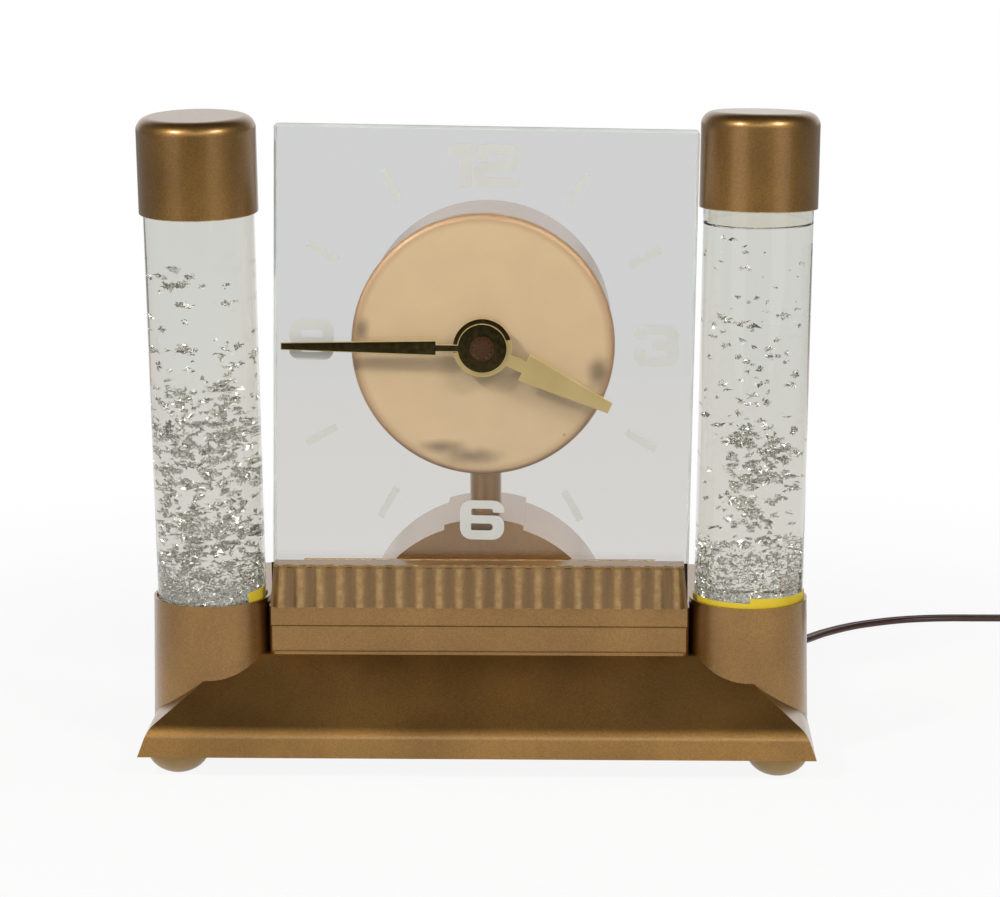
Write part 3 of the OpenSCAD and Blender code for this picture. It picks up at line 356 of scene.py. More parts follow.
def satin_dial(c):
    # Spun and gold-lacquered aluminium: a soft satin face with faint turning rings, a warmer rim,
    # and a few soft dark patches, most of them near the edge
    made, tree, shader = blank("satin_gold_dial", Metallic=0.35, Roughness=0.5)
    lo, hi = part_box("dial_disc")
    radius = (hi.x - lo.x) / 2
    place = node(tree, "TexCoord").outputs["Object"]
    flat = vector(tree, "MULTIPLY", vector(tree, "SUBTRACT", place, (lo + hi) / 2), (1.0, 0.0, 1.0))
    reach = vector(tree, "LENGTH", flat)
    cloud = cloudy(tree, place, 14, 6.0)
    tone = blend(tree, 1.0, c.dial, ramp(tree, cloud, 0.3, 0.7, 0.97, 1.03), blend_type="MULTIPLY")
    rim = ramp(tree, reach, radius - 5.0 * MM, radius - 0.3 * MM, smooth=True)
    tone = blend(tree, rim, tone, c.dial_rim)
    # a few soft dark patches, darkest in their middles
    for x, z, wide, high in DIAL_DARK_PATCHES:
        off = vector(tree, "SUBTRACT", flat, (x * MM, 0.0, z * MM))
        even = vector(tree, "MULTIPLY", off, (1 / (wide * MM), 0.0, 1 / (high * MM)))
        wobble = calc(tree, "ADD", vector(tree, "LENGTH", even), cloud)
        tone = blend(tree, ramp(tree, wobble, 0.5, 1.5, 0.75, 0.0, smooth=True), tone, c.dial_dark_patch)
    rings = node(tree, "TexNoise", {"W": reach, "Scale": 1 / (0.6 * MM)}, noise_dimensions="1D")
    dress(tree, shader, Base_Color=tone, Normal=relief(tree, rings.outputs["Fac"], 0.01, 0.5))
    return made


def make_finishes(c):
    """Every finish by its short name; a grained one has two tones, grain and depth in mm, and roughness."""
    return {
        "bronze": bronze_lacquer(c),
        "dial": satin_dial(c),
        # Polished plate glass: clear and flat, seen by its reflections and a grey-green tint
        "glass": clear("polished_plate_glass", c.glass, 1.52),
        # Ground glass edge: a pale frosted line round the plate
        "ground": grained("ground_glass_edge", c.ground, linear("#EEF2EF"), 0.4, 0.02, 0.45,
                          IOR=1.52, Transmission_Weight=0.35),
        # Drawn tube and the liquid in it: one clear lens that widens the flakes
        "tube": clear("drawn_glass_tube_with_liquid", c.liquid, 1.45),
        # The liquid's open surface: so little bent that the pale room behind shows through it
        "surface": clear("open_liquid_surface", c.liquid, 1.04),
        # The wall under that surface: what came down through the surface leaves with no dark patch
        "shoulder": clear("drawn_glass_tube_shoulder", c.liquid, 1.45, 1.04),
        # Screen-printed paint: a thin, even, slightly chalky film
        "print": grained("screen_printed_paint", c.print_white, linear("#D1D1CA"), 0.5, 0.01, 0.5),
        # Cut aluminium foil: each flake a small mirror, bright or dark by how it lies
        "flake": grained("cut_aluminium_flake", c.flake, linear("#F4F4F0"), 0.6, 0.03, 0.24, Metallic=0.93),
        # Polished brass: mirror bright, with the dark reflection of the room painted into its dark base colour
        "brass_painted_dark_reflection": grained("polished_brass_painted_dark", linear("#5F5332"), linear("#6C5F3B"), 2.0, 0.002, 0.16,
                                  Metallic=1.0),
        # Satin brass: brushed along the hand, a flat even glow
        "brass_satin": grained("satin_brushed_brass", c.brass_dark, c.brass, 0.35, 0.01, 0.42, Metallic=0.8),
        # Bronzed brass: a dark coppery skin with small highlights
        "nut": grained("bronzed_brass", linear("#5A3C2A"), c.nut, 0.8, 0.02, 0.2, Metallic=0.9),
        # Plated steel: cool and bright with a faint drawn grain
        "steel": grained("nickel_plated_steel", linear("#9A9B9E"), c.steel, 0.5, 0.01, 0.28, Metallic=1.0),
        # Moulded plastic feet: satin tan with a fine moulded grain
        "foot": grained("moulded_urea_plastic", linear("#A08048"), c.foot, 0.5, 0.02, 0.32),
        # Wool felt strip: dark, soft and fuzzy, with no shine
        "felt": grained("pressed_wool_felt", linear("#1C1610"), linear("#2E251B"), 0.7, 0.25, 0.95),
        # Black enamel on sheet steel: smooth with a slight orange peel
        "cover": grained("black_stoving_enamel", linear("#1A1712"), linear("#2A251D"), 1.6, 0.02, 0.4),
        # Vulcanised fibre: matt, dense and papery
        "fibre": grained("vulcanised_fibre", linear("#3A291B"), linear("#4E3826"), 0.5, 0.05, 0.8),
        # Varnished cotton tape round the coil: warm, with a wound texture
        "tape": grained("varnished_cotton_tape", linear("#6B4020"), linear("#925E30"), 0.6, 0.12, 0.55),
        # Moulded phenolic plastic: near black, glossy, very slightly wavy
        "black": grained("moulded_phenolic", c.black, linear("#2A2724"), 1.5, 0.01, 0.3),
        # Frosted lamp glass: milky, lets light through
        "bulb": grained("frosted_lamp_glass", linear("#EDE6D6"), linear("#F7F2E6"), 0.4, 0.02, 0.5,
                        Transmission_Weight=0.6),
        # Moulded rubber stopper: matt and dark
        "rubber": grained("moulded_rubber", linear("#1A1816"), linear("#262320"), 0.6, 0.05, 0.8),
        # Yellow adhesive tape strip: flat colour with a faint weave
        "yellow": grained("yellow_cotton_tape", c.yellow, linear("#EBD03A"), 0.5, 0.06, 0.6),
        # Extruded vinyl lead: brown, satin, slightly uneven along its length
        "lead": grained("extruded_vinyl", c.lead, linear("#503026"), 1.2, 0.03, 0.36),
    }


FINISHES = {}


def finishes():
    """The finishes, made once."""
    if not FINISHES:
        FINISHES.update(make_finishes(bpy.context.scene.clock_colours))
    return FINISHES


# Mesh making

def place_piece(name, mesh, finish, body, slot, *nodes):
    """Put a mesh in the scene as a piece that rides on a body and stands for some of the CAD nodes."""
    piece = bpy.data.objects.new(name, mesh)
    bpy.context.scene.collection.objects.link(piece)
    for one in finish if isinstance(finish, (list, tuple)) else [finish]:
        mesh.materials.append(one)
    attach(piece, body)
    if nodes:
        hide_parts(*nodes)
    return piece


def smooth(mesh, angle=32.0):
    """Smooth shading with edges sharper than angle kept crisp."""
    mesh.shade_smooth()
    mesh.set_sharp_from_angle(angle=math.radians(angle))


def body_and_slot(name):
    """The body that a CAD node rides on and the slot of its finish."""
    record = frame["record"]
    body = next(b for b, names in record["behaviour"]["bodies"].items() if name in names)
    slot = next(s["material_slot"] for s in record["subparts"] if s["node"] == name)
    return body, slot


def coat(names, finish):
    """Give CAD nodes that show as they are their finish."""
    for name in names:
        mesh = frame["nodes"][name].data
        mesh.materials.clear()
        mesh.materials.append(finish)


def soften(name, finish, edge, angle=38.0, segments=2):
    """A copy of a CAD node with its edges rounded, which stands for the node."""
    source = frame["nodes"][name].data
    work = bmesh.new()
    work.from_mesh(source)
    bmesh.ops.remove_doubles(work, verts=work.verts, dist=0.004 * MM)
    bmesh.ops.dissolve_limit(
        work, angle_limit=math.radians(0.15), verts=work.verts, edges=work.edges, delimit=set())
    wear_and_highlight = work.faces.layers.float.new("wear_and_highlight")
    sharp = [e for e in work.edges if len(e.link_faces) == 2 and e.calc_face_angle(0) > math.radians(angle)]
    made = bmesh.ops.bevel(
        work, geom=sharp, offset=edge, offset_type="OFFSET", segments=segments, profile=0.5,
        affect="EDGES", clamp_overlap=True)
    # the rounded edges are marked to be painted brighter, for rubbed wear and as a painted highlight
    for face in made["faces"]:
        face[wear_and_highlight] = 1.0
    for face in work.faces:
        face.material_index = 0
    mesh = bpy.data.meshes.new(name + "_finished")
    work.to_mesh(mesh)
    work.free()
    smooth(mesh)
    body, slot = body_and_slot(name)
    piece = place_piece(name + "_finished", mesh, finish, body, slot, name)
    weigh = piece.modifiers.new("even_normals", "WEIGHTED_NORMAL")
    weigh.keep_sharp = True
    return piece


def hand_axis():
    """A point on the hands' axis."""
    joint = next(j for j in frame["joints"] if j["name"] == "minute_turn")
    return Vector(joint["pos_m"])


def tube_frame(side):
    """A frame at the cup's rim with z along the tube."""
    joint = next(j for j in frame["joints"] if j["name"] == f"tube_{side}_lift")
    up = Vector(joint["axis"]).normalized()
    lo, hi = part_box("glass_tube_" + side)
    middle = (lo + hi) / 2
    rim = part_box("base_shell")[1].z
    origin = middle + up * (rim - middle.z) / up.z
    back = up.cross(Vector((1, 0, 0))).normalized()
    across = back.cross(up)
    made = Matrix((across, back, up)).transposed().to_4x4()
    made.translation = origin
    return made


def span(name, at):
    """Lowest and highest z and the largest radius of a CAD node in a frame."""
    back = at.inverted()
    points = [back @ v.co for v in frame["nodes"][name].data.vertices]
    heights = [p.z for p in points]
    return min(heights), max(heights), max(math.hypot(p.x, p.y) for p in points)


def finish_edges(piece, finish, flat):
    """Give the edge faces of a flat piece a finish of their own."""
    piece.data.materials.append(finish)
    for face in piece.data.polygons:
        face.material_index = 0 if abs(face.normal.y) > flat else 1


def lathe(work, profile, matrix, steps):
    """Turn a profile of (radius, height) points about the matrix's z axis into closed skin."""
    rings = []
    for r, h in profile:
        if r < 1e-7:
            rings.append([work.verts.new(matrix @ Vector((0, 0, h)))])
        else:
            rings.append([
                work.verts.new(matrix @ Vector((
                    r * math.cos(2 * math.pi * i / steps), r * math.sin(2 * math.pi * i / steps), h)))
                for i in range(steps)])
    faces = []
    for a, b in zip(rings, rings[1:]):
        for i in range(steps):
            j = (i + 1) % steps
            corner = [a[i % len(a)], a[j % len(a)], b[j % len(b)], b[i % len(b)]]
            unique = list(dict.fromkeys(corner))
            if len(unique) > 2:
                faces.append(work.faces.new(unique))
    return faces


def arc(cx, cz, r, start, end, count):
    """Points on a circle from start to end degrees."""
    return [
        (cx + r * math.cos(math.radians(start + (end - start) * i / count)),
         cz + r * math.sin(math.radians(start + (end - start) * i / count)))
        for i in range(count + 1)]


def finished_mesh(work, name, angle=32.0):
    """Turn mesh work into a mesh with its faces outward."""
    bmesh.ops.recalc_face_normals(work, faces=work.faces)
    mesh = bpy.data.meshes.new(name)
    work.to_mesh(mesh)
    work.free()
    smooth(mesh, angle)
    return mesh


def catmull(points, steps):
    """A smooth line through points, with steps pieces between neighbours."""
    pts = [Vector(p) for p in points]
    full = [2 * pts[0] - pts[1]] + pts + [2 * pts[-1] - pts[-2]]
    line = []
    for a, b, c, d in zip(full, full[1:], full[2:], full[3:]):
        for i in range(steps):
            t = i / steps
            line.append(0.5 * (
                2 * b + (c - a) * t + (2 * a - 5 * b + 4 * c - d) * t ** 2
                + (3 * b - a - 3 * c + d) * t ** 3))
    return line + [pts[-1]]


def sweep(work, line, shape):
    """A closed skin round a line; shape is (across, up) points, kept level."""
    rings = []
    for i, point in enumerate(line):
        ahead = (line[min(i + 1, len(line) - 1)] - line[max(i - 1, 0)]).normalized()
        side = ahead.cross(Vector((0, 0, 1))).normalized()
        up = side.cross(ahead)
        rings.append([work.verts.new(point + side * a + up * b) for a, b in shape])
    count = len(shape)
    for one, two in zip(rings, rings[1:]):
        for i in range(count):
            j = (i + 1) % count
            work.faces.new((one[i], one[j], two[j], two[i]))
    work.faces.new(rings[0])
    work.faces.new(rings[-1])


def rounded(corners, steps=6):
    """A closed outline from (x, y, radius) corners."""
    count = len(corners)
    outline = []
    for i, (x, y, r) in enumerate(corners):
        here = Vector((x, y))
        back = (Vector(corners[i - 1][:2]) - here).normalized()
        on = (Vector(corners[(i + 1) % count][:2]) - here).normalized()
        if r <= 0:
            outline.append((x, y))
            continue
        half = math.acos(max(-1.0, min(1.0, back.dot(on)))) / 2
        reach = r / math.tan(half)
        centre = here + (back + on).normalized() * (r / math.sin(half))
        start, end = here + back * reach - centre, here + on * reach - centre
        turn = start.angle_signed(end)
        outline += [tuple(centre + Matrix.Rotation(-turn * k / steps, 2) @ start) for k in range(steps + 1)]
    return outline


def add_print(work, loops, thick):
    """Add a flat filled shape of outlines and holes, with a thickness, to mesh work."""
    curve = bpy.data.curves.new("outline", "CURVE")
    curve.dimensions = "2D"
    curve.fill_mode = "BOTH"
    curve.extrude = thick / 2
    for loop in loops:
        spline = curve.splines.new("POLY")
        spline.points.add(len(loop) - 1)
        for point, (x, y) in zip(spline.points, loop):
            point.co = (x, y, 0, 1)
        spline.use_cyclic_u = True
    holder = bpy.data.objects.new("outline", curve)
    bpy.context.scene.collection.objects.link(holder)
    bpy.context.view_layer.update()
    mesh = bpy.data.meshes.new_from_object(holder.evaluated_get(bpy.context.evaluated_depsgraph_get()))
    bpy.data.objects.remove(holder)
    bpy.data.curves.remove(curve)
    work.from_mesh(mesh)
    bpy.data.meshes.remove(mesh)


# The printed digits: outlines as (across, up, corner radius) in mm on this field; a turned 6 makes the 9
FIELD_WIDE = 18.0
FIELD_HIGH = 16.5
DIGITS = {
    "6": (
        ((18, 11.5, 0.4), (18, 16.5, 4.4), (0, 16.5, 4.6), (0, 0, 4.8), (18, 0, 4.8), (18, 10.2, 3.6),
         (4.5, 10.2, 0.3), (4.5, 13, 0.8), (13.3, 13, 0.8), (13.3, 11.5, 0.3)),
        ((4.5, 3.9, 0.6), (4.5, 6.8, 0.4), (13.4, 6.8, 1.4), (13.4, 3.9, 1.4)),
    ),
    "3": (
        ((0, 11.3, 0.4), (0, 16.5, 4.6), (18, 16.5, 4.6), (18, 8.6, 2.0), (17.2, 8.2, 0.2), (18, 7.8, 2.0),
         (18, 0, 4.6), (0, 0, 4.6), (0, 6.3, 0.4), (4.8, 6.3, 0.4), (4.8, 3.2, 0.8), (13.4, 3.2, 0.8),
         (13.4, 6.7, 0.8), (7.6, 6.7, 0.3), (7.6, 9.8, 0.3), (13.4, 9.8, 0.8), (13.4, 13.2, 0.8),
         (5, 13.2, 0.8), (5, 11.3, 0.4)),
    ),
    "1": (
        ((9.6, 0, 0.2), (9.6, 16.5, 0.3), (4.6, 16.5, 2.0), (0, 14.9, 1.6), (0.4, 12.0, 1.2),
         (4.7, 11.4, 0.4), (4.7, 0, 0.2)),
    ),
    "2": (
        ((0, 0, 0.3), (18, 0, 0.3), (18, 3.7, 0.3), (4.7, 3.7, 0.5), (4.7, 6.0, 0.5), (18, 6.0, 4.2),
         (18, 16.5, 4.6), (0, 16.5, 4.4), (0, 10.3, 0.4), (5, 10.3, 0.4), (5, 12.7, 0.8), (13.2, 12.7, 1.1),
         (13.2, 9.6, 1.1), (0, 9.6, 3.8)),
    ),
}


class CLOCK_OT_camera(bpy.types.Operator):
    """Camera at the height and distance of the photograph"""
    bl_idname = "clock.camera"
    bl_label = "Camera"

    def execute(self, context):
        data = bpy.data.cameras.new("clock_camera")
        data.sensor_fit = "HORIZONTAL"
        data.sensor_width = SENSOR
        data.lens = LENS
        camera = bpy.data.objects.new("clock_camera", data)
        camera.location = CAMERA_PLACE
        camera.rotation_euler = [math.radians(a) for a in CAMERA_TURN]
        context.scene.collection.objects.link(camera)
        context.scene.camera = camera
        return {"FINISHED"}


class CLOCK_OT_lead(bpy.types.Operator):
    """Mains lead with its grommet, coil, tie and plug"""
    bl_idname = "clock.lead"
    bl_label = "Mains lead"

    def execute(self, context):
        sizes = context.scene.clock_sizes
        half = COIL_TURNS * 360
        count = int(2 * COIL_TURNS * COIL_STEPS)
        coil = []
        for i in range(count + 1):
            a = 2 * half * i / count
            r = COIL_RADIUS - COIL_PITCH * (half - abs(a - half)) / 360
            t = min(max((a - half + 90) / 180, 0), 1)
            turn = math.radians(90 - a)
            coil.append(Vector((
                COIL_CENTRE[0] + r * math.cos(turn), COIL_CENTRE[1] + r * math.sin(turn),
                COIL_Z + COIL_LAYER * t * t * (3 - 2 * t))))
        last = Vector((2 * COIL_CENTRE[0] - LEAD_ROUTE[-1][0], LEAD_ROUTE[-1][1], COIL_Z + COIL_LAYER))
        line = catmull(LEAD_ROUTE, 4) + coil + [last]
        lobe = sizes.lead_thickness / 2
        across = sizes.lead_width / 2 - lobe
        shape = arc(across, 0, lobe, -128, 128, 12) + arc(-across, 0, lobe, 52, 308, 12)
        work = bmesh.new()
        sweep(work, line, shape)
        mesh = finished_mesh(work, "mains_lead", 50)
        f = finishes()
        lead = place_piece("mains_lead", mesh, f["lead"], "base", "cord_rubber", "power_cord", "cord_coil")
        ends = [
            soften("cord_grommet", f["lead"], 0.5 * MM),
            soften("cord_tie", f["black"], 0.25 * MM),
            soften("plug_body", f["black"], 1.6 * MM, segments=4),
            soften("plug_blades", f["brass_satin"], 0.25 * MM),
        ]
        return {"FINISHED"}


class CLOCK_OT_base(bpy.types.Operator):
    """Base casting with its cover, feet and screws"""
    bl_idname = "clock.base"
    bl_label = "Base"

    def execute(self, context):
        f = finishes()
        soften("base_shell", f["bronze"], context.scene.clock_sizes.edge)
        soften("feet", f["foot"], 0.4 * MM)
        coat(["base_cover"], f["cover"])
        coat(["foot_screws"], f["steel"])
        return {"FINISHED"}


class CLOCK_OT_rails(bpy.types.Operator):
    """Fluted rail, felt strip and rear rail that hold the glass"""
    bl_idname = "clock.rails"
    bl_label = "Rails"

    def execute(self, context):
        f = finishes()
        mesh = fluted_front(context.scene.clock_sizes)
        place_piece("fluted_rail_finished", mesh, f["bronze"], "base", "bronze_paint", "fluted_rail")
        soften("glass_back_rail", f["bronze"], 0.3 * MM)
        coat(["glass_cushion"], f["felt"])
        return {"FINISHED"}


def fluted_front(sizes):
    """The rail with its even wave of flutes and the thin lip along its top edge."""
    lo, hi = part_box("fluted_rail")
    half = (hi.x - lo.x) / 2
    pitch = (2 * half - RAIL_ENDS) / RAIL_FLUTES
    top = hi.z
    edge = sizes.edge
    work = bmesh.new()
    wear_and_highlight = work.faces.layers.float.new("wear_and_highlight")
    painted_shade = work.verts.layers.float.new("painted_shade")
    count = RAIL_FLUTES * RAIL_STEPS
    loops = []
    for i in range(count + 1):
        x = -half + 2 * half * i / count
        dip = RAIL_DEPTH * (1 - math.cos(2 * math.pi * x / pitch)) / 2
        front, shelf = lo.y + dip, lo.y + min(dip, RAIL_SHELF)
        loop = []
        for y, z in (
                (hi.y, lo.z), (front, lo.z), (front, top - 1.5 * RAIL_LIP), (shelf, top - RAIL_LIP),
                (shelf, top - edge), (shelf + edge, top), (hi.y, top)):
            # the ends lean in, within the last flute
            lean = RAIL_DRAFT * (z - lo.z) / (top - lo.z)
            share = max(0.0, 1 - (half - abs(x)) / pitch)
            vertex = work.verts.new((x - math.copysign(lean * share, x), y, z))
            # painted shade, deepest at the bottom of a flute
            vertex[painted_shade] = RAIL_PAINTED_SHADE * (dip / RAIL_DEPTH) ** 1.5 if y == front else 0.0
            loop.append(vertex)
        loops.append(loop)
    sides = len(loops[0])
    for one, two in zip(loops, loops[1:]):
        for k in range(sides):
            face = work.faces.new((one[k], one[(k + 1) % sides], two[(k + 1) % sides], two[k]))
            # painted brighter most along the top edge, for rubbed wear and as a painted highlight, and a painted
            # highlight on the crests
            crest = 1 - (one[1].co.y - lo.y) / RAIL_DEPTH
            face[wear_and_highlight] = {1: RAIL_CREST_HIGHLIGHT * crest ** 2, 4: 1.0}.get(k, 0.0)
    work.faces.new(loops[0])
    work.faces.new(loops[-1])
    return finished_mesh(work, "fluted_rail_finished")


class CLOCK_OT_dial_plate(bpy.types.Operator):
    """Glass plate with ground edges, printed hours, washer and nut"""
    bl_idname = "clock.dial_plate"
    bl_label = "Dial plate"

    def execute(self, context):
        f = finishes()
        sizes = context.scene.clock_sizes
        finish_edges(soften("dial_glass", f["glass"], 0.15 * MM), f["ground"], 0.99)
        wide = sizes.digit_width / FIELD_WIDE
        high = sizes.digit_height / FIELD_HIGH
        tall = sizes.twelve_height / FIELD_HIGH
        work = bmesh.new()
        # each digit: outline, half turn, its lower left corner from the hand axis in mm, and its rise
        for digit, turned, x, z, rise in (
                ("1", False, -15.1, 65.2, tall), ("2", False, -4.2, 65.2, tall),
                ("3", False, 61.7, -6.7, high), ("6", False, -8.3, -80.4, high),
                ("6", True, -78.9, -6.9, high)):
            loops = []
            for corners in DIGITS[digit]:
                outline = rounded(corners)
                if turned:
                    outline = [(FIELD_WIDE - across, FIELD_HIGH - up) for across, up in outline]
                loops.append([(across * wide + x * MM, up * rise + z * MM) for across, up in outline])
            add_print(work, loops, sizes.print_film)
        for hour in range(12):
            if hour % 3:
                turn = math.radians(30 * hour)
                out = Vector((math.sin(turn), math.cos(turn)))
                side = Vector((out.y, -out.x)) * sizes.bar_width / 2
                low, top = out * sizes.bar_inner, out * sizes.bar_outer
                add_print(work, [[low - side, low + side, top + side, top - side]], sizes.print_film)
        bmesh.ops.remove_doubles(work, verts=work.verts, dist=0.001 * MM)
        axis = hand_axis()
        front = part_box("dial_glass")[0].y - sizes.print_film / 2
        place = Matrix.Translation((axis.x, front, axis.z))
        tilt = Matrix.Rotation(math.radians(PLATE_TURN), 4, "Y")
        upright = Matrix.Rotation(math.radians(90), 4, "X")
        bmesh.ops.transform(work, matrix=place @ tilt @ upright, verts=work.verts)
        mesh = finished_mesh(work, "printed_hours")
        place_piece("printed_hours", mesh, f["print"], "base", "plate_glass")
        coat(["glass_washer"], f["fibre"])
        soften("dial_nut", f["brass_satin"], 0.2 * MM)
        return {"FINISHED"}


class CLOCK_OT_hands(bpy.types.Operator):
    """Hour hand, minute hand and the knurled nut"""
    bl_idname = "clock.hands"
    bl_label = "Hands"

    def execute(self, context):
        f = finishes()
        hand = soften("hour_hand", f["brass_satin"], 0.12 * MM)
        hand.data.materials.append(f["brass_painted_dark_reflection"])
        paint_boss_dark_reflection(hand.data)
        # the faces carry the painted dark reflection; the cut edges keep the brass colour as thin bright lines
        finish_edges(soften("minute_hand", f["brass_painted_dark_reflection"], 0.28 * MM), f["brass_satin"], 0.95)
        soften("hand_nut", f["nut"], 0.25 * MM)
        return {"FINISHED"}


def paint_boss_dark_reflection(mesh):
    """Give the upper part of the hour hand's boss its second finish, the painted dark reflection of the room
    above.
    """
    split = hand_axis() + BOSS_SPLIT
    work = bmesh.new()
    work.from_mesh(mesh)
    bmesh.ops.bisect_plane(
        work, geom=work.verts[:] + work.edges[:] + work.faces[:], plane_co=split, plane_no=BOSS_UP)
    for face in work.faces:
        above = (face.calc_center_median() - split).dot(BOSS_UP) > 0
        face.material_index = 1 if above and abs(face.normal.y) > 0.9 else 0
    work.to_mesh(mesh)
    work.free()


class CLOCK_OT_case(bpy.types.Operator):
    """Drum case, dial disc, column and arched pedestal"""
    bl_idname = "clock.case"
    bl_label = "Movement case"

    def execute(self, context):
        f = finishes()
        soften("motor_case", f["bronze"], 0.5 * MM)
        soften("dial_disc", f["dial"], 0.2 * MM)
        soften("support_column", f["bronze"], 0.3 * MM)
        soften("pedestal", f["bronze"], 0.5 * MM)
        coat(["column_nuts"], f["steel"])
        return {"FINISHED"}


class CLOCK_OT_movement(bpy.types.Operator):
    """Plates, motor and wheels inside the case"""
    bl_idname = "clock.movement"
    bl_label = "Movement"

    def execute(self, context):
        f = finishes()
        coat(["front_plate", "rear_plate", "hour_wheel", "minute_wheel"], f["brass_satin"])
        coat(["plate_pillars", "stator_core", "core_posts", "set_shaft", "drive_pinion"], f["steel"])
        coat(["rotor_case", "minute_arbor"], f["nut"])
        coat(["field_coil"], f["tape"])
        return {"FINISHED"}


class CLOCK_OT_lamps(bpy.types.Operator):
    """Lamps under the tubes"""
    bl_idname = "clock.lamps"
    bl_label = "Lamps"

    def execute(self, context):
        f = finishes()
        for side in SIDES:
            coat(["lamp_bracket_" + side], f["steel"])
            coat(["lamp_socket_" + side], f["brass_satin"])
            coat(["lamp_bulb_" + side], f["bulb"])
        return {"FINISHED"}


class CLOCK_OT_controls(bpy.types.Operator):
    """Lamp switch and hand setting knob at the rear"""
    bl_idname = "clock.controls"
    bl_label = "Controls"

    def execute(self, context):
        f = finishes()
        soften("set_knob", f["black"], 0.4 * MM)
        soften("switch_nut", f["steel"], 0.25 * MM)
        soften("switch_lever", f["steel"], 0.2 * MM)
        coat(["switch_body"], f["black"])
        return {"FINISHED"}


class CLOCK_OT_tubes(bpy.types.Operator):
    """Glass tubes with liquid, flakes, stoppers, caps and packing strips"""
    bl_idname = "clock.tubes"
    bl_label = "Flake tubes"

    def execute(self, context):
        f = finishes()
        sizes = context.scene.clock_sizes
        for side in SIDES:
            at = tube_frame(side)
            body = "tube_" + side
            mesh = tube_with_liquid(side, at, sizes.meniscus)
            place_piece(body + "_glass", mesh, [f["tube"], f["surface"], f["shoulder"]], body, "tube_glass",
                        "glass_tube_" + side, "liquid_" + side)
            mesh = flakes(side, at, sizes.heap_chips)
            place_piece("flakes_" + side, mesh, f["flake"], body, "flakes", "flake_bed_" + side)
            soften("tube_cap_" + side, f["bronze"], 0.35 * MM)
            coat(["stopper_" + side], f["rubber"])
            soften("tube_liner_" + side, f["yellow"], 0.1 * MM)
        return {"FINISHED"}


def tube_with_liquid(side, at, climb):
    """A tube and its liquid as one clear skin, open above the liquid's surface."""
    low, top, radius = span("glass_tube_" + side, at)
    inner = span("liquid_" + side, at)[2]
    wall = inner + 0.1 * MM
    level = (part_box("liquid_" + side)[1].z - at.translation.z) / at[2][2]
    shoulder = level - SHOULDER
    profile = (
        [(0, low)] + arc(radius - TUBE_FOOT, low + TUBE_FOOT, TUBE_FOOT, -90, 0, 6)
        + [(radius, shoulder), (radius, level + climb)]
        + arc(radius - TUBE_EDGE, top - TUBE_EDGE, TUBE_EDGE, 0, 180, 6)
        + [(inner, top - 2 * TUBE_EDGE), (inner, level + climb)]
        + [(inner - 3 * climb * k / 6, level + climb * (1 - k / 6) ** 2.4) for k in range(1, 7)]
        + [(0, level)])
    work = bmesh.new()
    lathe(work, profile, Matrix.Identity(4), TUBE_STEPS)
    # the liquid's surface lies level although the tube leans
    for vertex in work.verts:
        x, y, z = vertex.co
        if low + TUBE_FOOT < z < level + 2 * climb and math.hypot(x, y) < wall:
            vertex.co.z -= (at[2][0] * x + at[2][1] * y) / at[2][2]
    # the surface, and the wall under it, where a view down through the surface leaves again
    for face in work.faces:
        x, y, z = face.calc_center_median()
        away = math.hypot(x, y)
        if away < inner - 0.7 * climb and z > level - 2 * climb:
            face.material_index = 1
        elif away > wall and shoulder < z < level + climb:
            face.material_index = 2
    bmesh.ops.transform(work, matrix=at, verts=work.verts)
    return finished_mesh(work, f"tube_{side}_glass", 40)


def chip(work, at, centre, size, rng):
    """One folded chip of foil: a thin closed wedge, turned at random."""
    turn = at @ Matrix.Translation(centre)
    for axis in "XY":
        turn = turn @ Matrix.Rotation(rng.gauss(0, CHIP_TILT), 4, axis)
    start = rng.uniform(0, 2 * math.pi)
    corners = []
    for k in range(3):
        a = start + (2 * k + rng.uniform(-0.5, 0.5)) * math.pi / 3
        r = size * rng.uniform(0.35, 0.65)
        corners.append(work.verts.new(turn @ Vector((r * math.cos(a), r * math.sin(a), 0))))
    fold = work.verts.new(turn @ Vector((0, 0, size * rng.uniform(0.1, 0.3))))
    work.faces.new(corners[::-1])
    for a, b in zip(corners, corners[1:] + corners[:1]):
        work.faces.new((a, b, fold))


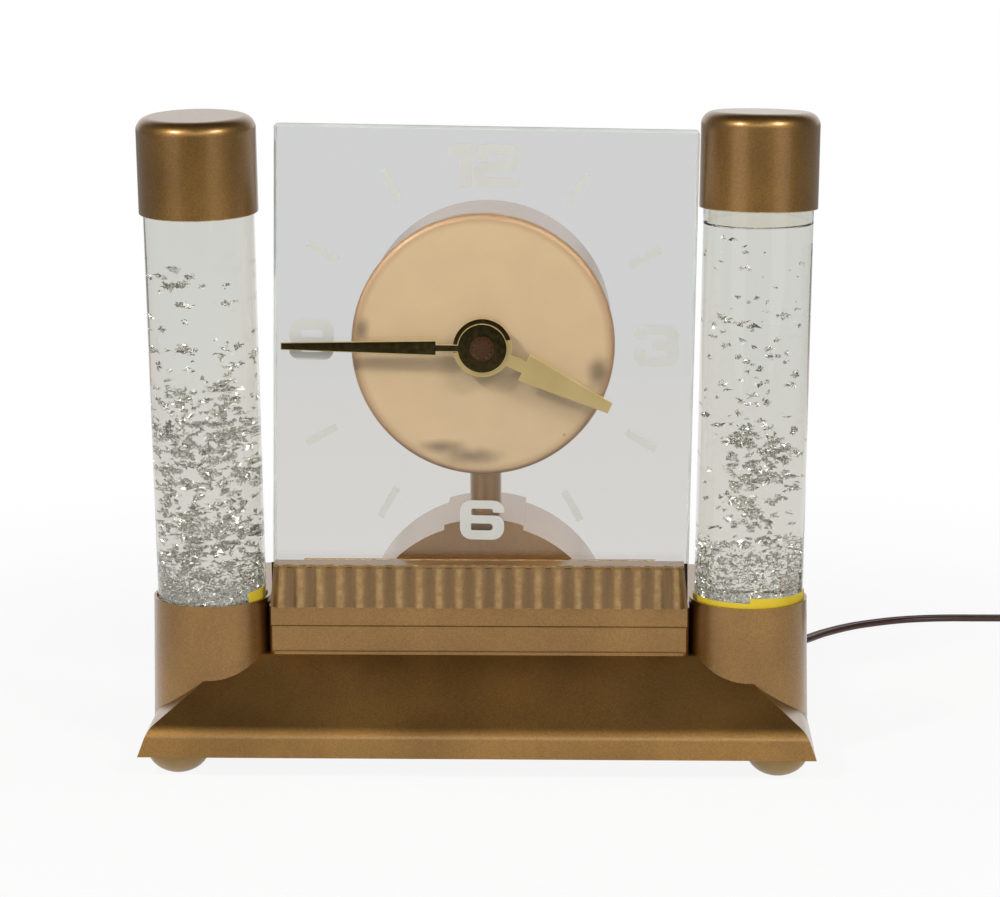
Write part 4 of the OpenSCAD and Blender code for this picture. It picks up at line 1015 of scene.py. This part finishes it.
def flakes(side, at, count):
    """Settled heap and loose clumps of flakes of one tube."""
    rng = random.Random(SEED[side])
    noise.seed_set(SEED[side])
    floor = span("glass_tube_" + side, at)[0] + HEAP_FLOOR
    bed = span("flake_bed_" + side, at)[1]
    room = span("liquid_" + side, at)[2] - FLAKE_GAP
    heap = HEAP_TOP[side] * MM
    work = bmesh.new()
    pile = (
        [(0, floor)] + [(room, floor + (bed - floor) * k / 10) for k in range(11)]
        + [(room * k / 6, bed + 1.5 * MM) for k in range(5, -1, -1)])
    skin = lathe(work, pile, at, 48)
    for vertex in {v for face in skin for v in face.verts}:
        vertex.co += noise.noise_vector(vertex.co * CRUMPLES_PER_M) * HEAP_CRUMPLE
    for _ in range(count):
        a = rng.uniform(0, 2 * math.pi)
        r = room * math.sqrt(rng.uniform(0.4, 1.0))
        top = heap * (1 + 0.3 * noise.noise(Vector((2 * math.cos(a), 2 * math.sin(a), r / room))))
        # some chips lie deep in the heap, most on it
        start = floor if rng.random() < 0.3 else bed
        z = start + (top - start) * rng.random() ** 1.3
        chip(work, at, Vector((r * math.cos(a), r * math.sin(a), z)), rng.uniform(*HEAP_CHIP) * MM, rng)
    for low, high, clumps, narrow, wide, spread, shift in CLUMPS[side]:
        for _ in range(clumps):
            a = rng.uniform(0, 2 * math.pi)
            r = room * spread * math.sqrt(rng.random())
            middle = Vector((r * math.cos(a) + shift * room, r * math.sin(a), rng.uniform(low, high) * MM))
            # small clumps are the most common, and wide ones hold more chips
            width = narrow + (wide - narrow) * rng.random() ** 1.8
            chip(work, at, middle, rng.uniform(*MIDDLE_CHIP) * width * MM, rng)
            for _ in range(int(1 + 2.2 * width ** 1.4)):
                away = Vector([rng.gauss(0, 0.23 * share) * width * MM for share in (1.0, 1.0, 0.8)])
                place = middle + away
                if math.hypot(place.x, place.y) < room and place.z < (high + 3) * MM:
                    chip(work, at, place, rng.uniform(*CLUMP_CHIP) * MM, rng)
    mesh = bpy.data.meshes.new("flakes_" + side)
    work.to_mesh(mesh)
    work.free()
    return mesh


class CLOCK_OT_stage(bpy.types.Operator):
    """Pale floor, soft lamps and the room around"""
    bl_idname = "clock.stage"
    bl_label = "Stage"

    def execute(self, context):
        scene = context.scene
        scene.view_settings.view_transform = "Standard"
        mesh = bpy.data.meshes.new("floor")
        mesh.from_pydata(
            [(-FLOOR_SIDE, FLOOR_FRONT, 0), (FLOOR_SIDE, FLOOR_FRONT, 0),
             (FLOOR_SIDE, FLOOR_BACK, 0), (-FLOOR_SIDE, FLOOR_BACK, 0)], [], [(0, 1, 2, 3)])
        floor = bpy.data.objects.new("floor", mesh)
        scene.collection.objects.link(floor)
        mesh.materials.append(pale_floor(scene.clock_colours))
        for name, (azimuth, rise, far, wide, high, power) in LAMPS.items():
            data = bpy.data.lights.new("softbox_" + name, "AREA")
            data.shape = "RECTANGLE"
            data.size = wide
            data.size_y = high
            data.energy = power
            lamp = bpy.data.objects.new("softbox_" + name, data)
            turn, up = math.radians(azimuth), math.radians(rise)
            lamp.location = LAMP_TARGET + far * Vector((
                math.sin(turn) * math.cos(up), -math.cos(turn) * math.cos(up), math.sin(up)))
            lamp.rotation_euler = (LAMP_TARGET - lamp.location).to_track_quat("-Z", "Y").to_euler()
            scene.collection.objects.link(lamp)
        studio_room(scene)
        return {"FINISHED"}


def pale_floor(c):
    # Seamless paper: matt and white; seen straight on it blends to plain white away from the clock,
    # and close by it keeps the clock's shadow
    made = bpy.data.materials.new("white_paper_floor")
    made.use_nodes = True
    tree = made.node_tree
    tree.nodes.remove(tree.nodes["Principled BSDF"])
    place = node(tree, "TexCoord").outputs["Object"]
    x, y, _ = node(tree, "SeparateXYZ", {0: place}).outputs
    path = node(tree, "LightPath").outputs
    through = path["Is Transmission Ray"]
    away = ramp(tree, vector(tree, "LENGTH", place), 0.18, 0.6, 0.9, 1.0, smooth=True)
    seen = calc(tree, "MAXIMUM", path["Is Camera Ray"], path["Is Glossy Ray"])
    share = calc(tree, "MAXIMUM", calc(tree, "MULTIPLY", away, seen), through)
    # through glass the paper is a pale grey, cooler far behind
    far = ramp(tree, y, 0.5, 1.15, smooth=True)
    tone = blend(tree, through, WHITE, blend(tree, far, THROUGH_NEAR, THROUGH_FAR))
    # mirrored in the clock, the paper fades towards its front edge and to the sides
    ahead = ramp(tree, y, FLOOR_FRONT, FLOOR_FRONT / 3, 0.25, 1.0)
    beside = ramp(tree, calc(tree, "ABSOLUTE", x), 0.25, 0.8, 1.0, 0.3)
    mirrored = calc(tree, "SUBTRACT", path["Is Glossy Ray"], through, use_clamp=True)
    fade = node(tree, "Mix", {0: mirrored, 2: 1.0, 3: calc(tree, "MULTIPLY", ahead, beside)})
    white = node(tree, "Emission", {"Color": tone, "Strength": fade.outputs[0]})
    show(tree, share, node(tree, "BsdfDiffuse", {"Color": c.floor}), white)
    return made


def studio_room(scene):
    """Room light: pale behind the clock, dim in front, dark above and beside it, white to the camera."""
    world = bpy.data.worlds.new("studio")
    scene.world = world
    world.use_nodes = True
    tree = world.node_tree
    x, y, z = node(tree, "SeparateXYZ", {0: node(tree, "TexCoord").outputs["Generated"]}).outputs
    front = ramp(tree, y, -0.7, -0.2, 0.42, 0.22)
    back = ramp(tree, y, 0.6, 0.9, 0.0, 0.7, smooth=True)
    high = ramp(tree, z, 0.3, 0.8, 1.0, 0.1)
    low = ramp(tree, z, -0.14, 0.04, 0.12, 1.0, smooth=True)
    room = calc(tree, "MULTIPLY", calc(tree, "ADD", front, back), high)
    room = calc(tree, "MULTIPLY", room, low)
    # two soft upright glows low in front, left and right, as from the lower parts of the lamps
    off = calc(tree, "COMPARE", calc(tree, "ABSOLUTE", x), 0.64, 0.2)
    ahead = calc(tree, "LESS_THAN", y, -0.4)
    under = calc(tree, "LESS_THAN", z, 0.1)
    glow = calc(tree, "MULTIPLY", calc(tree, "MULTIPLY", off, ahead), under)
    room = calc(tree, "MULTIPLY_ADD", glow, GLOW, room)
    # plain white straight on, through glass, and mirrored from behind the clock
    path = node(tree, "LightPath").outputs
    through = path["Is Transmission Ray"]
    behind = calc(tree, "MULTIPLY", path["Is Glossy Ray"], ramp(tree, y, 0.6, 0.9))
    seen = calc(tree, "MAXIMUM", calc(tree, "MAXIMUM", path["Is Camera Ray"], behind), through)
    level = node(tree, "Mix", {0: seen, 2: room, 3: 1.0}).outputs[0]
    dress(tree, tree.nodes["Background"], Color=blend(tree, through, WHITE, THROUGH_FAR), Strength=level)


class CLOCK_PT_panel(bpy.types.Panel):
    """The clock's pieces, sizes and colours"""
    bl_idname = "CLOCK_PT_panel"
    bl_label = "Motion clock"
    bl_space_type = "VIEW_3D"
    bl_region_type = "UI"
    bl_category = "Clock"

    def draw(self, context):
        for step in STEPS:
            self.layout.operator(step.bl_idname)
        for group in (context.scene.clock_sizes, context.scene.clock_colours):
            for name in group.__annotations__:
                self.layout.prop(group, name)


STEPS = (
    CLOCK_OT_camera, CLOCK_OT_lead, CLOCK_OT_base, CLOCK_OT_rails, CLOCK_OT_dial_plate, CLOCK_OT_hands,
    CLOCK_OT_case, CLOCK_OT_movement, CLOCK_OT_lamps, CLOCK_OT_controls, CLOCK_OT_tubes, CLOCK_OT_stage,
)
CLASSES = (ClockSizes, ClockColours) + STEPS + (CLOCK_PT_panel,)


def register():
    for one in CLASSES:
        bpy.utils.register_class(one)
    bpy.types.Scene.clock_sizes = PointerProperty(type=ClockSizes)
    bpy.types.Scene.clock_colours = PointerProperty(type=ClockColours)


def unregister():
    del bpy.types.Scene.clock_colours
    del bpy.types.Scene.clock_sizes
    for one in reversed(CLASSES):
        bpy.utils.unregister_class(one)


def main():
    register()
    for step in STEPS:
        group, name = step.bl_idname.split(".")
        getattr(getattr(bpy.ops, group), name)()


if __name__ == "__main__":
    main()
